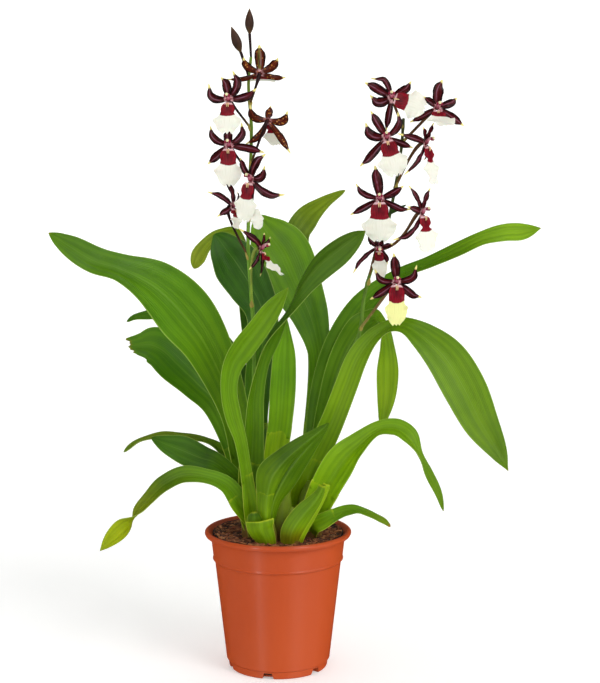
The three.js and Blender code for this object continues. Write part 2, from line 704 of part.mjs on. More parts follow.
// Half widths of a tepal and of the lip at even steps from the middle of the bloom to the tip
const tepalWidths = [1.2, 3.1, 3.9, 2.9, 0.8];
const lipWidths = [2.6, 6.8, 5.2, 12.8, 12.2, 5.5];

function bloomAxes(bloom) {
  const yaw = THREE.MathUtils.degToRad(bloom.yaw);
  const nod = THREE.MathUtils.degToRad(bloom.nod);
  const level = Math.cos(nod);
  const face = new THREE.Vector3(Math.sin(yaw) * level, -Math.cos(yaw) * level, -Math.sin(nod));
  const up = new THREE.Vector3(0, 0, 1).addScaledVector(face, -face.z).normalize();
  const right = new THREE.Vector3().crossVectors(up, face);
  return { at: point(bloom.at), face, up, right };
}

function petalRows(axes, [angle, reach, lift], widths, start, bow, seat) {
  const turn = THREE.MathUtils.degToRad(angle);
  const along = axes.up.clone().multiplyScalar(Math.cos(turn)).addScaledVector(axes.right, Math.sin(turn));
  return widths.map((width, i) => {
    const s = i / (widths.length - 1);
    const rise = seat + lift * s * s + bow * Math.sin(Math.PI * s);
    const p = axes.at.clone().addScaledVector(along, start + (reach - start) * s);
    p.addScaledVector(axes.face, rise);
    return [p.x, p.y, p.z, width, 0];
  });
}

function tepalsSolid(bloom) {
  const axes = bloomAxes(bloom);
  const blades = bloom.tepals.map((tepal) => {
    const rows = petalRows(axes, tepal, tepalWidths, tepalStart, tepalBow, 0);
    return bladeSolid(rows, {
      from: 0,
      to: 1,
      steps: tepalWidths.length - 1,
      view: axes.face.clone().negate(),
      foldFrom: 0,
      foldTo: 0,
      thickness: tepalThickness,
      edge: tepalThickness,
      across: [-1, 1],
    });
  });
  const hub = new THREE.SphereGeometry(hubRadius, 5, 4);
  hub.translate(...bloom.at);
  const tip = axes.at.clone().addScaledVector(axes.face, columnReach).addScaledVector(axes.up, columnRise);
  const column = stemSolid(new THREE.LineCurve3(axes.at, tip), 1, 4, columnFootRadius, columnTipRadius);
  return join([...blades, toSolid(hub), column]);
}

function lipSolid(bloom) {
  const axes = bloomAxes(bloom);
  return bladeSolid(petalRows(axes, bloom.lip, lipWidths, lipStart, lipBow, lipSeat), {
    from: 0,
    to: 1,
    steps: lipWidths.length - 1,
    view: axes.face.clone().negate(),
    foldFrom: -8,
    foldTo: -4,
    thickness: lipThickness,
    edge: lipEdgeThickness,
    across: [-1, -0.5, 0, 0.5, 1],
    ruffle: lipRuffle,
  });
}

function rachisSolid(spike, grow) {
  const points = spike.rachis.map(point);
  points[0].addScaledVector(points[0].clone().sub(points[1]).normalize(), grow);
  const curve = smoothCurve(points);
  const tipRadius = rachisRadius * rachisTaper + grow;
  return stemSolid(curve, rachisSteps, rachisSides, rachisRadius + grow, tipRadius);
}

function rachisPoint(spike, z) {
  const rows = spike.rachis;
  const i = Math.max(0, rows.findIndex((row) => row[2] > z) - 1);
  const share = (z - rows[i][2]) / (rows[i + 1][2] - rows[i][2]);
  return point(rows[i]).lerp(point(rows[i + 1]), share);
}

// A bloom's stalk comes up to the back of the hub and ends just short of it
function stalkSolid(spike, bloom) {
  const axes = bloomAxes(bloom);
  const end = axes.at.clone().addScaledVector(axes.face, -(hubRadius + clearance));
  const start = rachisPoint(spike, bloom.stalkFrom);
  const bend = end.clone().addScaledVector(axes.face, -stalkBehind);
  bend.z -= stalkSag;
  const curve = new THREE.CubicBezierCurve3(start, start.clone().lerp(bend, 0.5), bend, end);
  return stemSolid(curve, stalkSteps, stalkSides, stalkRadius, stalkRadius);
}

function budSolid(bud) {
  const base = point(bud.base);
  const along = point(bud.tip).sub(base);
  const profile = budShape.map(([r, h]) => [r * bud.radius, h * along.length()]);
  const geometry = turned(profile, 8);
  const upright = new THREE.Vector3(0, 0, 1);
  geometry.applyQuaternion(new THREE.Quaternion().setFromUnitVectors(upright, along.normalize()));
  geometry.translate(base.x, base.y, base.z);
  return toSolid(geometry);
}

function budStalkSolid(bud) {
  const base = point(bud.base);
  const start = point(bud.from);
  const along = point(bud.tip).sub(base).normalize();
  const end = base.clone().addScaledVector(along, -clearance);
  const bend = start.clone().lerp(end, 0.5);
  bend.z = start.z + (end.z - start.z) * 0.55;
  const curve = new THREE.QuadraticBezierCurve3(start, bend, end);
  return stemSolid(curve, stalkSteps, stalkSides + 1, stalkRadius, stalkRadius * 0.9);
}

// The crown: bulbs, rhizome, the sheaths of every leaf and the cut stumps, grown together as one piece,
// with a plain channel for each rachis
function crownSolid() {
  const grown = bulbs.map((bulb) => bulbSolid(bulb, 0));
  grown.push(...rhizomeSolids(rhizomeRadius));
  grown.push(...leaves.map((leaf) => leafSolid(leaf, 0, sheathShare(leaf), sheathSteps)));
  grown.push(...stumps.map((stump) => leafSolid(stump, 0, 1, stumpSteps)));
  const channels = spikes.map((spike) => rachisSolid(spike, clearance));
  return outerBody(join(grown).subtract(join(channels)));
}

addPiece("pot", potSolid(), plasticOrange, 0.35);
addPiece("potting_bark", barkSolid(), barkBrown, 0.95);
addPiece("crown", crownSolid(), sheathGreen, 0.5);

for (const leaf of leaves) {
  const start = sheathShare(leaf) + clearance / rowsLength(leaf.rows);
  const steps = Math.round(leafStepsPerRow * (leaf.rows.length - 1 - leaf.sheathEnds));
  addPiece(leaf.name, leafSolid(leaf, start, 1, steps), leafGreen, 0.42);
}

for (const spike of spikes) {
  const stems = [rachisSolid(spike, 0), ...spike.blooms.map((bloom) => stalkSolid(spike, bloom))];
  if (spike.carriesBuds) {
    stems.push(...buds.map(budStalkSolid));
  }
  addPiece(`spike_${spike.name}`, join(stems), stalkGreen, 0.55);
  spike.blooms.forEach((bloom, i) => {
    addPiece(`bloom_${spike.name}_${i + 1}`, tepalsSolid(bloom), maroon, 0.5);
    addPiece(`lip_${spike.name}_${i + 1}`, lipSolid(bloom), bloom.yellowLip ? lipYellow : lipWhite, 0.6);
  });
}

for (const bud of buds) {
  addPiece(bud.name, budSolid(bud), budBrown, 0.5);
}

export default plant;
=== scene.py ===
import bpy
import bmesh
import math
import random
import numpy as np
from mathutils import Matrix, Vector


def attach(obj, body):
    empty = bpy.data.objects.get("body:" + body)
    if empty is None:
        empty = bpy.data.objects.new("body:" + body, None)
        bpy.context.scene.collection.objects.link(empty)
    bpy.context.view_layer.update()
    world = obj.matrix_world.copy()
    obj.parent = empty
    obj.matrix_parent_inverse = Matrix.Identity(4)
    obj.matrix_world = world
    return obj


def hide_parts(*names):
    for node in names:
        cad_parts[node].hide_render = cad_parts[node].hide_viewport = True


# A potted odontonia orchid: a nursery pot, potting bark, a crown of bulbs and sheaths, 19 strap leaves and
# two flower spikes. Each piece stands where its solid is, with the viewer at -Y

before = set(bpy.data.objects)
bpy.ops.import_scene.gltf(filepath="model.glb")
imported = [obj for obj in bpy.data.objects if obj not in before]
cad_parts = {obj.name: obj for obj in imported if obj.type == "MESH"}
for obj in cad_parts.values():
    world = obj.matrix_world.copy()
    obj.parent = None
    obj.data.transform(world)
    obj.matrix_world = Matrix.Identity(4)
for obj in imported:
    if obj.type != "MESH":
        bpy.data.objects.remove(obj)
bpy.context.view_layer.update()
print("frame loaded:", len(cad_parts), "nodes")

mm = 0.001
body = "root"


# Colours, curves and meshes that every piece uses. Shapes are in mm and colours are given from 0 to 255

def rgb(red, green, blue):
    parts = [value / 255 for value in (red, green, blue)]
    return np.array([v / 12.92 if v <= 0.04045 else ((v + 0.055) / 1.055) ** 2.4 for v in parts])


def rgba(colour):
    return (*rgb(*colour), 1.0)


def unit(vectors):
    return vectors / np.maximum(np.linalg.norm(vectors, axis=-1, keepdims=True), 1e-9)


def smoothStep(low, high, x):
    s = np.clip((x - low) / (high - low), 0, 1)
    return s * s * (3 - 2 * s)


def curveAt(controls, t):
    p = np.asarray(controls, float)
    span = np.clip(np.asarray(t, float), 0, 1) * (len(p) - 1)
    i = np.minimum(span.astype(int), len(p) - 2)
    w = (span - i)[:, None]
    q = np.vstack([2 * p[0] - p[1], p, 2 * p[-1] - p[-2]])
    before, low, high, after = q[i], q[i + 1], q[i + 2], q[i + 3]
    leave = (high - before) / 2
    arrive = (after - low) / 2
    square = 3 * (high - low) - 2 * leave - arrive
    cube = 2 * (low - high) + leave + arrive
    return low + leave * w + square * w ** 2 + cube * w ** 3


def curveSlope(controls, t):
    step = 1e-4
    ahead = curveAt(controls, np.minimum(t + step, 1))
    return unit(ahead - curveAt(controls, np.maximum(t - step, 0)))


# Faces of stacked rings of verts
def gridFaces(rows, columns):
    faces = []
    for i in range(rows - 1):
        for j in range(columns):
            k = (j + 1) % columns
            faces.append((i * columns + j, i * columns + k, (i + 1) * columns + k, (i + 1) * columns + j))
    return faces


# The same rings closed by a point at either end. The two points come last among the verts, the one beside the
# first ring before the other
def cappedFaces(rings, sides, flip=False):
    faces = gridFaces(rings, sides)
    if flip:
        faces = [face[::-1] for face in faces]
    first = rings * sides
    last = first - sides
    for j in range(sides):
        k = (j + 1) % sides
        near, far = (j, k) if flip else (k, j)
        faces.append((first, near, far))
        faces.append((first + 1, last + far, last + near))
    return faces


def ringAngles(sides):
    return np.arange(sides) * 2 * math.pi / sides


# One closed body of a piece. along, across and back tell the materials where on it they are
def part(verts, faces, tone, along=0.0, across=0.0, back=0.0, skin=0):
    count = len(verts)

    def spread(value):
        return np.broadcast_to(np.asarray(value, float), (count,)).copy()

    colours = np.broadcast_to(np.asarray(tone, float), (count, 3)).copy()
    return {"verts": np.asarray(verts, float), "faces": faces, "tone": colours, "skin": skin,
            "along": spread(along), "across": spread(across), "back": spread(back)}


# An object made of parts, with its materials, that takes the place of its nodes
def makePiece(name, parts, materials, nodes):
    offset = 0
    faces = []
    skins = []
    for piece in parts:
        faces += [tuple(corner + offset for corner in face) for face in piece["faces"]]
        skins += [piece["skin"]] * len(piece["faces"])
        offset += len(piece["verts"])
    mesh = bpy.data.meshes.new(name)
    mesh.from_pydata((np.vstack([p["verts"] for p in parts]) * mm).tolist(), [], faces)
    for material in materials:
        mesh.materials.append(material)
    mesh.polygons.foreach_set("material_index", skins)
    mesh.polygons.foreach_set("use_smooth", [True] * len(faces))
    for key in ("along", "across", "back"):
        layer = mesh.attributes.new(key, "FLOAT", "POINT")
        layer.data.foreach_set("value", np.concatenate([p[key] for p in parts]))
    layer = mesh.attributes.new("tone", "FLOAT_COLOR", "POINT")
    tones = np.vstack([p["tone"] for p in parts])
    layer.data.foreach_set("color", np.hstack([tones, np.ones((len(tones), 1))]).ravel())
    mesh.update()
    piece = bpy.data.objects.new(name, mesh)
    bpy.context.scene.collection.objects.link(piece)
    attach(piece, body)
    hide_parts(*nodes)
    return piece


bladeLimits = {
    "narrowest": 0.3,
    "fullPleats": 12,       # half width from which pleats have their full depth
    "fullWaves": 4,         # and waves their full height
    "tipThickness": 0.35,   # share of the thickness that is left at the tip
    "tipLength": 1 / 14,    # share of the length over which it thins
    "bluntTip": 0.02,
}


# The last stretch of a blade narrows to its tip in an arc
def sharpened(look, s, width):
    reach = ((s - 1 + look["sharp"]) / look["sharp"]).clip(0, 1)
    return width * np.sqrt(np.clip(1 - reach ** 2, bladeLimits["bluntTip"], 1))


# How far a blade's surface stands off its rib line: folded, arched, pleated and waved
def bladeLift(look, s, u, width, fold):
    keel = np.sqrt(u ** 2 + look["soft"] ** 2)
    lift = (keel[None, :] - 0.5) * (width * np.sin(fold))[:, None]
    lift = lift + look.get("arch", 0) * width[:, None] * (0.5 - u[None, :] ** 2)
    if "pleats" in look:
        count, depth = look["pleats"]
        ridge = depth * np.cos(2 * math.pi * count * u) * (1 - u ** 2)
        lift = lift + ridge[None, :] * np.minimum(1, width / bladeLimits["fullPleats"])[:, None]
    aside = 1.3 * np.sign(u)[None, :]  # the two margins don't wave together
    for count, height in look.get("waves", ()):
        wave = np.sin(2 * math.pi * count * s[:, None] + look.get("phase", 0) + aside)
        full = np.minimum(1, width / bladeLimits["fullWaves"])[:, None]
        lift = lift + height * u[None, :] ** 2 * wave * full
    return lift


def bladeFaces(stations, columns):
    faces = gridFaces(stations, columns)
    top = (stations - 1) * columns
    for j in range(columns // 2 - 1):
        far = columns - 1 - j
        faces.append((far, far - 1, j + 1, j))
        faces.append((top + j, top + j + 1, top + far - 1, top + far))
    return [face[::-1] for face in faces]


# A thin blade along rows of [x, y, z, half width, roll], closed round its edges. look holds the stations
# along and across it, its thickness in the middle and at the edge, how soft its keel is and its fold in
# degrees at base and tip. Some have an arch, pleats, waves, a sharp tip, a ragged margin or a shifted end, or
# take only a span of the rows. view points away from the side that the blade shows, and tone is a colour or a
# function
def bladePart(rows, look, view, tone, skin=0):
    rows = np.asarray(rows, float)
    start, end = look.get("span", (0, 1))
    t = np.linspace(start, end, look["along"] + 1)
    s = (t - start) / (end - start)
    u = np.sin(np.linspace(-math.pi / 2, math.pi / 2, look["across"] + 1))
    rib = curveAt(rows[:, :3], t)
    tangent = curveSlope(rows[:, :3], t)
    size = curveAt(rows[:, 3:5], t)
    width = np.maximum(size[:, 0], bladeLimits["narrowest"]) * look.get("widen", 1)
    if look.get("sharp"):
        width = sharpened(look, s, width)
    turn = np.radians(size[:, 1])[:, None]
    side = unit(np.cross(tangent, view))
    cross = side * np.cos(turn) + np.cross(tangent, side) * np.sin(turn)
    normal = np.cross(tangent, cross)
    foldBase, foldTip = look["folds"]
    fold = np.radians(foldTip + (foldBase - foldTip) * (1 - t) ** 2)
    lift = bladeLift(look, s, u, width, fold)
    reach = u[None, :] * (width * np.cos(fold))[:, None]
    if "ragged" in look:
        reach = reach * (1 + look["ragged"](s[:, None], u[None, :]))
    middle = rib[:, None, :] + cross[:, None, :] * reach[..., None] + normal[:, None, :] * lift[..., None]
    if "shift" in look:
        middle = middle + look["shift"](s[:, None], u[None, :], tangent[:, None, :])
    out = unit(np.cross(np.gradient(middle, axis=0), np.gradient(middle, axis=1)))
    half = (look["thick"] + (look["edge"] - look["thick"]) * np.abs(u) ** 2)[None, :] / 2
    thin = bladeLimits["tipThickness"]
    half = half * (thin + (1 - thin) * np.minimum(1, (1 - s) / bladeLimits["tipLength"]))[:, None]
    skins = out * half[..., None]
    ring = np.concatenate([middle + skins, (middle - skins)[:, ::-1]], axis=1)
    stations, columns = ring.shape[:2]
    sGrid = np.repeat(s, columns)
    uGrid = np.tile(np.concatenate([u, u[::-1]]), stations)
    backGrid = np.tile(np.concatenate([np.zeros(len(u)), np.ones(len(u))]), stations)
    verts = ring.reshape(-1, 3)
    tones = tone(sGrid, uGrid, verts) if callable(tone) else rgb(*tone)
    return part(verts, bladeFaces(stations, columns), tones, sGrid, uGrid, backGrid, skin)


# A round tube along points with a radius at each and a low cone at either end. tone is a colour, or a list of
# stops along the tube
def tubePart(points, radii, sides, tone, skin=0):
    points = np.asarray(points, float)
    radii = np.asarray(radii, float)
    tangent = unit(np.gradient(points, axis=0))
    side = unit(np.cross(tangent[0], [0.31, 0.92, 0.24]))
    angle = ringAngles(sides)
    rings = []
    for centre, ahead, radius in zip(points, tangent, radii):
        side = unit(side - ahead * np.dot(side, ahead))
        other = np.cross(ahead, side)
        rings.append(centre + (side * np.cos(angle)[:, None] + other * np.sin(angle)[:, None]) * radius)
    lowEnd = points[:1] - tangent[:1] * radii[0] * 0.5
    highEnd = points[-1:] + tangent[-1:] * radii[-1] * 0.5
    verts = np.vstack(rings + [lowEnd, highEnd])
    s = np.append(np.repeat(np.linspace(0, 1, len(points)), sides), [0, 1])
    tones = blendTones(tone, s) if isinstance(tone, list) else rgb(*tone)
    return part(verts, cappedFaces(len(points), sides), tones, s, 0, 0, skin)


# Colours between stops of (place, colour)
def blendTones(stops, s):
    places = [stop[0] for stop in stops]
    colours = np.array([rgb(*stop[1]) for stop in stops])
    s = np.asarray(s)
    return np.stack([np.interp(s, places, colours[:, c]) for c in range(3)], axis=-1)


# Material nodes

def newMaterial(name, roughness, **sockets):
    material = bpy.data.materials.new(name)
    material.use_nodes = True
    tree = material.node_tree
    shader = tree.nodes["Principled BSDF"]
    shader.inputs["Roughness"].default_value = roughness
    for key, value in sockets.items():
        shader.inputs[key.replace("_", " ")].default_value = value
    return material, tree, shader


def add(tree, kind, inputs=None, **settings):
    node = tree.nodes.new("ShaderNode" + kind)
    for key, value in settings.items():
        setattr(node, key, value)
    for key, value in (inputs or {}).items():
        if isinstance(value, bpy.types.NodeSocket):
            tree.links.new(value, node.inputs[key])
        else:
            node.inputs[key].default_value = value
    return node


def mixTones(tree, factor, first, second, blend="MIX"):
    node = add(tree, "Mix", {0: factor, 6: first, 7: second}, data_type="RGBA", blend_type=blend)
    return node.outputs[2]


def calc(tree, operation, first, second=0.0):
    return add(tree, "Math", {0: first, 1: second}, operation=operation).outputs[0]


def between(tree, value, low, high):
    inputs = {0: value, 1: low, 2: high, 3: 0.0, 4: 1.0}
    return add(tree, "MapRange", inputs, interpolation_type="SMOOTHSTEP").outputs[0]


def layer(tree, name, output="Fac"):
    return add(tree, "Attribute", attribute_name=name).outputs[output]


def noiseAt(tree, vector, scale, detail=2.0, roughness=0.5):
    inputs = {"Vector": vector, "Scale": scale, "Detail": detail, "Roughness": roughness}
    return add(tree, "TexNoise", inputs).outputs["Fac"]


def place(tree):
    return add(tree, "TexCoord").outputs["Object"]


def bumpUp(tree, shader, height, strength, distance):
    node = add(tree, "Bump", {"Strength": strength, "Distance": distance, "Height": height})
    tree.links.new(node.outputs[0], shader.inputs["Normal"])


def toShader(tree, shader, socket, value):
    tree.links.new(value, shader.inputs[socket])


def tinted(tree, tone, tint):
    return mixTones(tree, 1.0, tone, tint, "MULTIPLY")


def scaled(tree, value, share):
    return calc(tree, "MULTIPLY", value, share)


# A tone tinted, or a colour laid over it, where a value says so
def tintWhere(tree, value, low, high, tone, tint):
    changed = tinted(tree, tone, tint)
    return mixTones(tree, between(tree, value, low, high), tone, changed)


def paintWhere(tree, value, share, tone, colour):
    return mixTones(tree, scaled(tree, value, share), tone, rgba(colour))


# Coordinates that follow a blade, for noise that is drawn out along it
def lanesOn(tree, across, along, scales, start=0.0):
    x = scaled(tree, across, scales[0])
    y = scaled(tree, along, scales[1])
    return add(tree, "CombineXYZ", {"X": x, "Y": y, "Z": start}).outputs[0]


leafFinish = {
    "roughness": 0.34, "shine": (0.3, 0.44), "gloss": 0.22,
    "glow": 0.08, "glowDepth": 0.002, "glowTone": (0.5, 1.0, 0.15),
    "veins": (26.0, 3.0), "veinDepth": 0.0002, "veinStrength": 0.65, "bands": (4.5, 1.1), "clouds": 22.0,
    "tint": (1.12, 1.07, 0.06, 1), "light": (1.2, 1.13, 1.1, 1), "deep": (0.8, 0.84, 0.76, 1),
    "dark": (0.72, 0.78, 0.62, 1), "backTint": (0.93, 1.0, 0.82, 1),
    "rim": (176, 196, 96), "rimShare": 0.5, "rib": (150, 182, 84), "ribShare": 0.16,
    "dry": (146, 112, 52), "torn": (138, 120, 62), "tornShare": 0.5, "tip": (150, 140, 70), "tipShare": 0.7,
}


def leafMaterial():
    look = leafFinish
    material, tree, shader = newMaterial("leafGreen", look["roughness"], Subsurface_Weight=look["glow"],
                                         Subsurface_Scale=look["glowDepth"], Specular_IOR_Level=look["gloss"])
    shader.inputs["Subsurface Radius"].default_value = look["glowTone"]
    across = layer(tree, "across")
    along = layer(tree, "along")
    spot = place(tree)
    streaks = noiseAt(tree, lanesOn(tree, across, along, look["veins"]), 0.9, 3.0, 0.6)
    clouds = noiseAt(tree, spot, look["clouds"], 3.0)
    bands = noiseAt(tree, lanesOn(tree, across, along, look["bands"], 4.0), 1.0)
    tone = tinted(tree, layer(tree, "tone", "Color"), look["tint"])
    # light streaks, then dark bands and dark clouds
    tone = tintWhere(tree, streaks, 0.36, 0.72, tone, look["light"])
    tone = tintWhere(tree, bands, 0.56, 0.4, tone, look["deep"])
    tone = tintWhere(tree, clouds, 0.62, 0.3, tone, look["dark"])
    # a light rim and rib, and a paler back
    edge = between(tree, calc(tree, "ABSOLUTE", across), 0.955, 0.998)
    tone = paintWhere(tree, edge, look["rimShare"], tone, look["rim"])
    rib = between(tree, calc(tree, "ABSOLUTE", across), 0.035, 0.0)
    tone = paintWhere(tree, rib, look["ribShare"], tone, look["rib"])
    pale = tinted(tree, tone, look["backTint"])
    tone = mixTones(tree, layer(tree, "back"), tone, pale)
    toShader(tree, shader, "Base Color", tone)
    low, high = look["shine"]
    shine = add(tree, "MapRange", {0: clouds, 1: 0.3, 2: 0.7, 3: low, 4: high}).outputs[0]
    toShader(tree, shader, "Roughness", shine)
    wave = calc(tree, "SINE", scaled(tree, across, look["veins"][0] * math.pi))
    height = calc(tree, "ADD", scaled(tree, wave, 0.35), streaks)
    bumpUp(tree, shader, height, look["veinStrength"], look["veinDepth"])
    return material


tepalFinish = {
    "roughness": 0.3, "gloss": 0.2, "lanes": (3.6, 1.8), "drift": (50.0, 50.0, 50.0), "grain": 420.0,
    # the mauve tone is a painted highlight laid along the tepal fronts
    "front": (86, 12, 18), "deep": (0.2, 0.14, 0.2, 1), "paintedHighlightTone": (166, 104, 128), "paintedHighlightShare": 0.5,
    "backTones": [(54, 13, 8), (122, 46, 20)], "speck": (186, 122, 54), "speckScale": 430.0,
    "margin": (18, 3, 6), "marginShare": 0.9, "tip": (232, 220, 134),
    "heart": (230, 176, 180), "spots": (136, 10, 40), "spotScale": 620.0,
    "relief": 0.00018, "reliefStrength": 0.5,
}


def tepalMaterial():
    look = tepalFinish
    material, tree, shader = newMaterial("tepalMaroon", look["roughness"], Specular_IOR_Level=look["gloss"])
    across = layer(tree, "across")
    along = layer(tree, "along")
    spot = place(tree)
    lane = lanesOn(tree, across, along, look["lanes"])
    drift = add(tree, "VectorMath", {0: spot, 1: look["drift"]}, operation="MULTIPLY").outputs[0]
    lane = add(tree, "VectorMath", {0: lane, 1: drift}, operation="ADD").outputs[0]
    streaks = noiseAt(tree, lane, 1.3, 3.0, 0.6)
    grain = noiseAt(tree, spot, look["grain"], 3.0)
    tone = tintWhere(tree, streaks, 0.4, 0.62, layer(tree, "tone", "Color"), look["deep"])
    # painted highlight: a mauve streak along one side of the middle, standing in for the sheen of light on
    # the glossy front
    side = calc(tree, "ABSOLUTE", calc(tree, "SUBTRACT", across, 0.18))
    highlightMask = calc(tree, "MULTIPLY", between(tree, side, 0.24, 0.06), between(tree, streaks, 0.4, 0.52))
    highlightMask = calc(tree, "MULTIPLY", highlightMask, between(tree, along, 0.12, 0.3))
    tone = paintWhere(tree, highlightMask, look["paintedHighlightShare"], tone, look["paintedHighlightTone"])
    # the back is rust brown and speckled
    back = layer(tree, "back")
    darkRust, lightRust = (rgba(colour) for colour in look["backTones"])
    rust = mixTones(tree, between(tree, streaks, 0.3, 0.8), darkRust, lightRust)
    specks = add(tree, "TexVoronoi", {"Vector": spot, "Scale": look["speckScale"]}).outputs["Distance"]
    rust = mixTones(tree, between(tree, specks, 0.36, 0.16), rust, rgba(look["speck"]))
    tone = mixTones(tree, back, tone, rust)
    # the margins are darkest
    edge = between(tree, calc(tree, "ABSOLUTE", across), 0.5, 0.85)
    tone = paintWhere(tree, edge, look["marginShare"], tone, look["margin"])
    # the spotted pale heart of the bloom, then the pale tip
    heart = between(tree, calc(tree, "ADD", along, scaled(tree, grain, 0.16)), 0.22, 0.14)
    heart = calc(tree, "MULTIPLY", heart, calc(tree, "SUBTRACT", 1.0, scaled(tree, back, 0.7)))
    dots = add(tree, "TexVoronoi", {"Vector": spot, "Scale": look["spotScale"]}).outputs["Distance"]
    star = mixTones(tree, between(tree, dots, 0.42, 0.3), rgba(look["heart"]), rgba(look["spots"]))
    tone = mixTones(tree, heart, tone, star)
    tip = between(tree, calc(tree, "ADD", along, scaled(tree, grain, 0.05)), 0.875, 0.92)
    tone = mixTones(tree, tip, tone, rgba(look["tip"]))
    toShader(tree, shader, "Base Color", tone)
    height = calc(tree, "ADD", streaks, scaled(tree, grain, 0.4))
    bumpUp(tree, shader, height, look["reliefStrength"], look["relief"])
    return material


lipFinish = {
    "roughness": 0.42, "gloss": 0.2, "glow": 0.12, "glowDepth": 0.0015, "lanes": (9.0, 2.0), "grain": 260.0,
    "crimson": (146, 0, 28), "deep": (84, 0, 16), "throat": (60, 0, 16), "throatShare": 0.6,
    "pale": (236, 190, 196), "white": (237, 237, 224), "yellow": (236, 236, 160),
    "shade": (0.93, 0.93, 0.9, 1), "border": 0.43, "borderCurve": 0.05,
    "relief": 0.0003, "reliefStrength": 0.45,
}


# A lip is crimson up to its border and has the fan's colour beyond it
def lipMaterial(name, fanTone):
    look = lipFinish
    material, tree, shader = newMaterial(name, look["roughness"], Subsurface_Weight=look["glow"],
                                         Subsurface_Scale=look["glowDepth"], Specular_IOR_Level=look["gloss"])
    across = layer(tree, "across")
    along = layer(tree, "along")
    grain = noiseAt(tree, place(tree), look["grain"], 3.0)
    veins = noiseAt(tree, lanesOn(tree, across, along, look["lanes"]), 1.4, 3.0, 0.6)
    crimson = mixTones(tree, between(tree, veins, 0.42, 0.62), rgba(look["crimson"]), rgba(look["deep"]))
    throat = calc(tree, "MULTIPLY", between(tree, calc(tree, "ABSOLUTE", across), 0.4, 0.1),
                  between(tree, along, 0.34, 0.2))
    crimson = paintWhere(tree, throat, look["throatShare"], crimson, look["throat"])
    wander = scaled(tree, grain, 0.05)
    pale = between(tree, calc(tree, "ADD", along, wander), 0.09, 0.05)
    crimson = mixTones(tree, pale, crimson, rgba(look["pale"]))
    fan = tintWhere(tree, veins, 0.45, 0.7, rgba(fanTone), look["shade"])
    curve = calc(tree, "POWER", calc(tree, "ABSOLUTE", across), 2.0)
    bulge = scaled(tree, curve, look["borderCurve"])
    reach = calc(tree, "ADD", calc(tree, "ADD", along, wander), bulge)
    border = between(tree, reach, look["border"] + 0.02, look["border"] + 0.04)
    toShader(tree, shader, "Base Color", mixTones(tree, border, crimson, fan))
    height = calc(tree, "ADD", veins, scaled(tree, grain, 0.5))
    bumpUp(tree, shader, height, look["reliefStrength"], look["relief"])
    return material


stemFinish = {
    "glow": 0.05, "glowDepth": 0.001, "gloss": 0.25, "stretch": (1.0, 1.0, 0.22), "reliefStrength": 0.5,
    "stalkGreen": {"roughness": 0.45, "grain": 300.0, "contrast": 0.72, "relief": 0.0002},
    "columnPink": {"roughness": 0.4, "grain": 500.0, "contrast": 0.6, "relief": 0.0001},
    "budBrown": {"roughness": 0.5, "grain": 260.0, "contrast": 0.55, "relief": 0.0003},
    "sheathGreen": {"roughness": 0.4, "grain": 170.0, "contrast": 0.86, "relief": 0.0003},
}


# Stalks, bulbs, column and buds take their colours from the mesh, with streaks and grain over them
def stemMaterial(name):
    shared = stemFinish
    look = shared[name]
    material, tree, shader = newMaterial(name, look["roughness"], Specular_IOR_Level=shared["gloss"],
                                         Subsurface_Weight=shared["glow"],
                                         Subsurface_Scale=shared["glowDepth"])
    spot = place(tree)
    stretch = add(tree, "Mapping", {"Vector": spot, "Scale": shared["stretch"]}).outputs[0]
    streaks = noiseAt(tree, stretch, look["grain"], 4.0, 0.6)
    fine = noiseAt(tree, spot, look["grain"] * 3)
    dark = (*[look["contrast"]] * 3, 1)
    tone = tintWhere(tree, streaks, 0.42, 0.68, layer(tree, "tone", "Color"), dark)
    toShader(tree, shader, "Base Color", tone)
    height = calc(tree, "ADD", streaks, scaled(tree, fine, 0.4))
    bumpUp(tree, shader, height, shared["reliefStrength"], look["relief"])
    return material


leafSkin = leafMaterial()
tepalSkin = tepalMaterial()
whiteLipSkin = lipMaterial("lipWhite", lipFinish["white"])
yellowLipSkin = lipMaterial("lipYellow", lipFinish["yellow"])
stalkSkin = stemMaterial("stalkGreen")
columnSkin = stemMaterial("columnPink")
budSkin = stemMaterial("budBrown")
sheathSkin = stemMaterial("sheathGreen")
print("materials ready")


# Pot: a turned nursery pot with a rolled rim, a collar step, a foot and drain notches

pot = {
    "height": 114.0, "rimRadius": 60.0, "rimDepth": 4.4, "wallTop": 54.5, "wallFoot": 41.8, "wall": 1.6,
    "floor": 2.4, "collarDrop": 23.0, "bead": 0.7, "footHeight": 6.0, "footInset": 1.4, "segments": 160,
    "notches": 6, "notchStart": -11.0, "notchWidth": 10.0, "notchHeight": 5.0, "notchTaper": 1.8,
    "tones": [(187, 71, 19), (193, 77, 23)], "roughness": 0.5, "shine": (0.46, 0.54), "gloss": 0.5,
    "coat": 0.35, "coatRoughness": 0.12, "turned": 0.95, "turnedAngle": 0.25, "creaseAngle": 42,
}


def potRadius(z):
    return pot["wallFoot"] + (pot["wallTop"] - pot["wallFoot"]) * z / pot["height"]


def rounded(corners, radii, steps=4):
    points = []
    for i, (corner, radius) in enumerate(zip(corners, radii)):
        p = np.array(corner, float)
        if radius == 0 or i in (0, len(corners) - 1):
            points.append(p)
            continue
        before = unit(np.array(corners[i - 1], float) - p) * radius
        after = unit(np.array(corners[i + 1], float) - p) * radius
        for k in range(steps + 1):
            s = k / steps
            points.append(p + before * (1 - s) ** 2 + after * s ** 2)
    return points


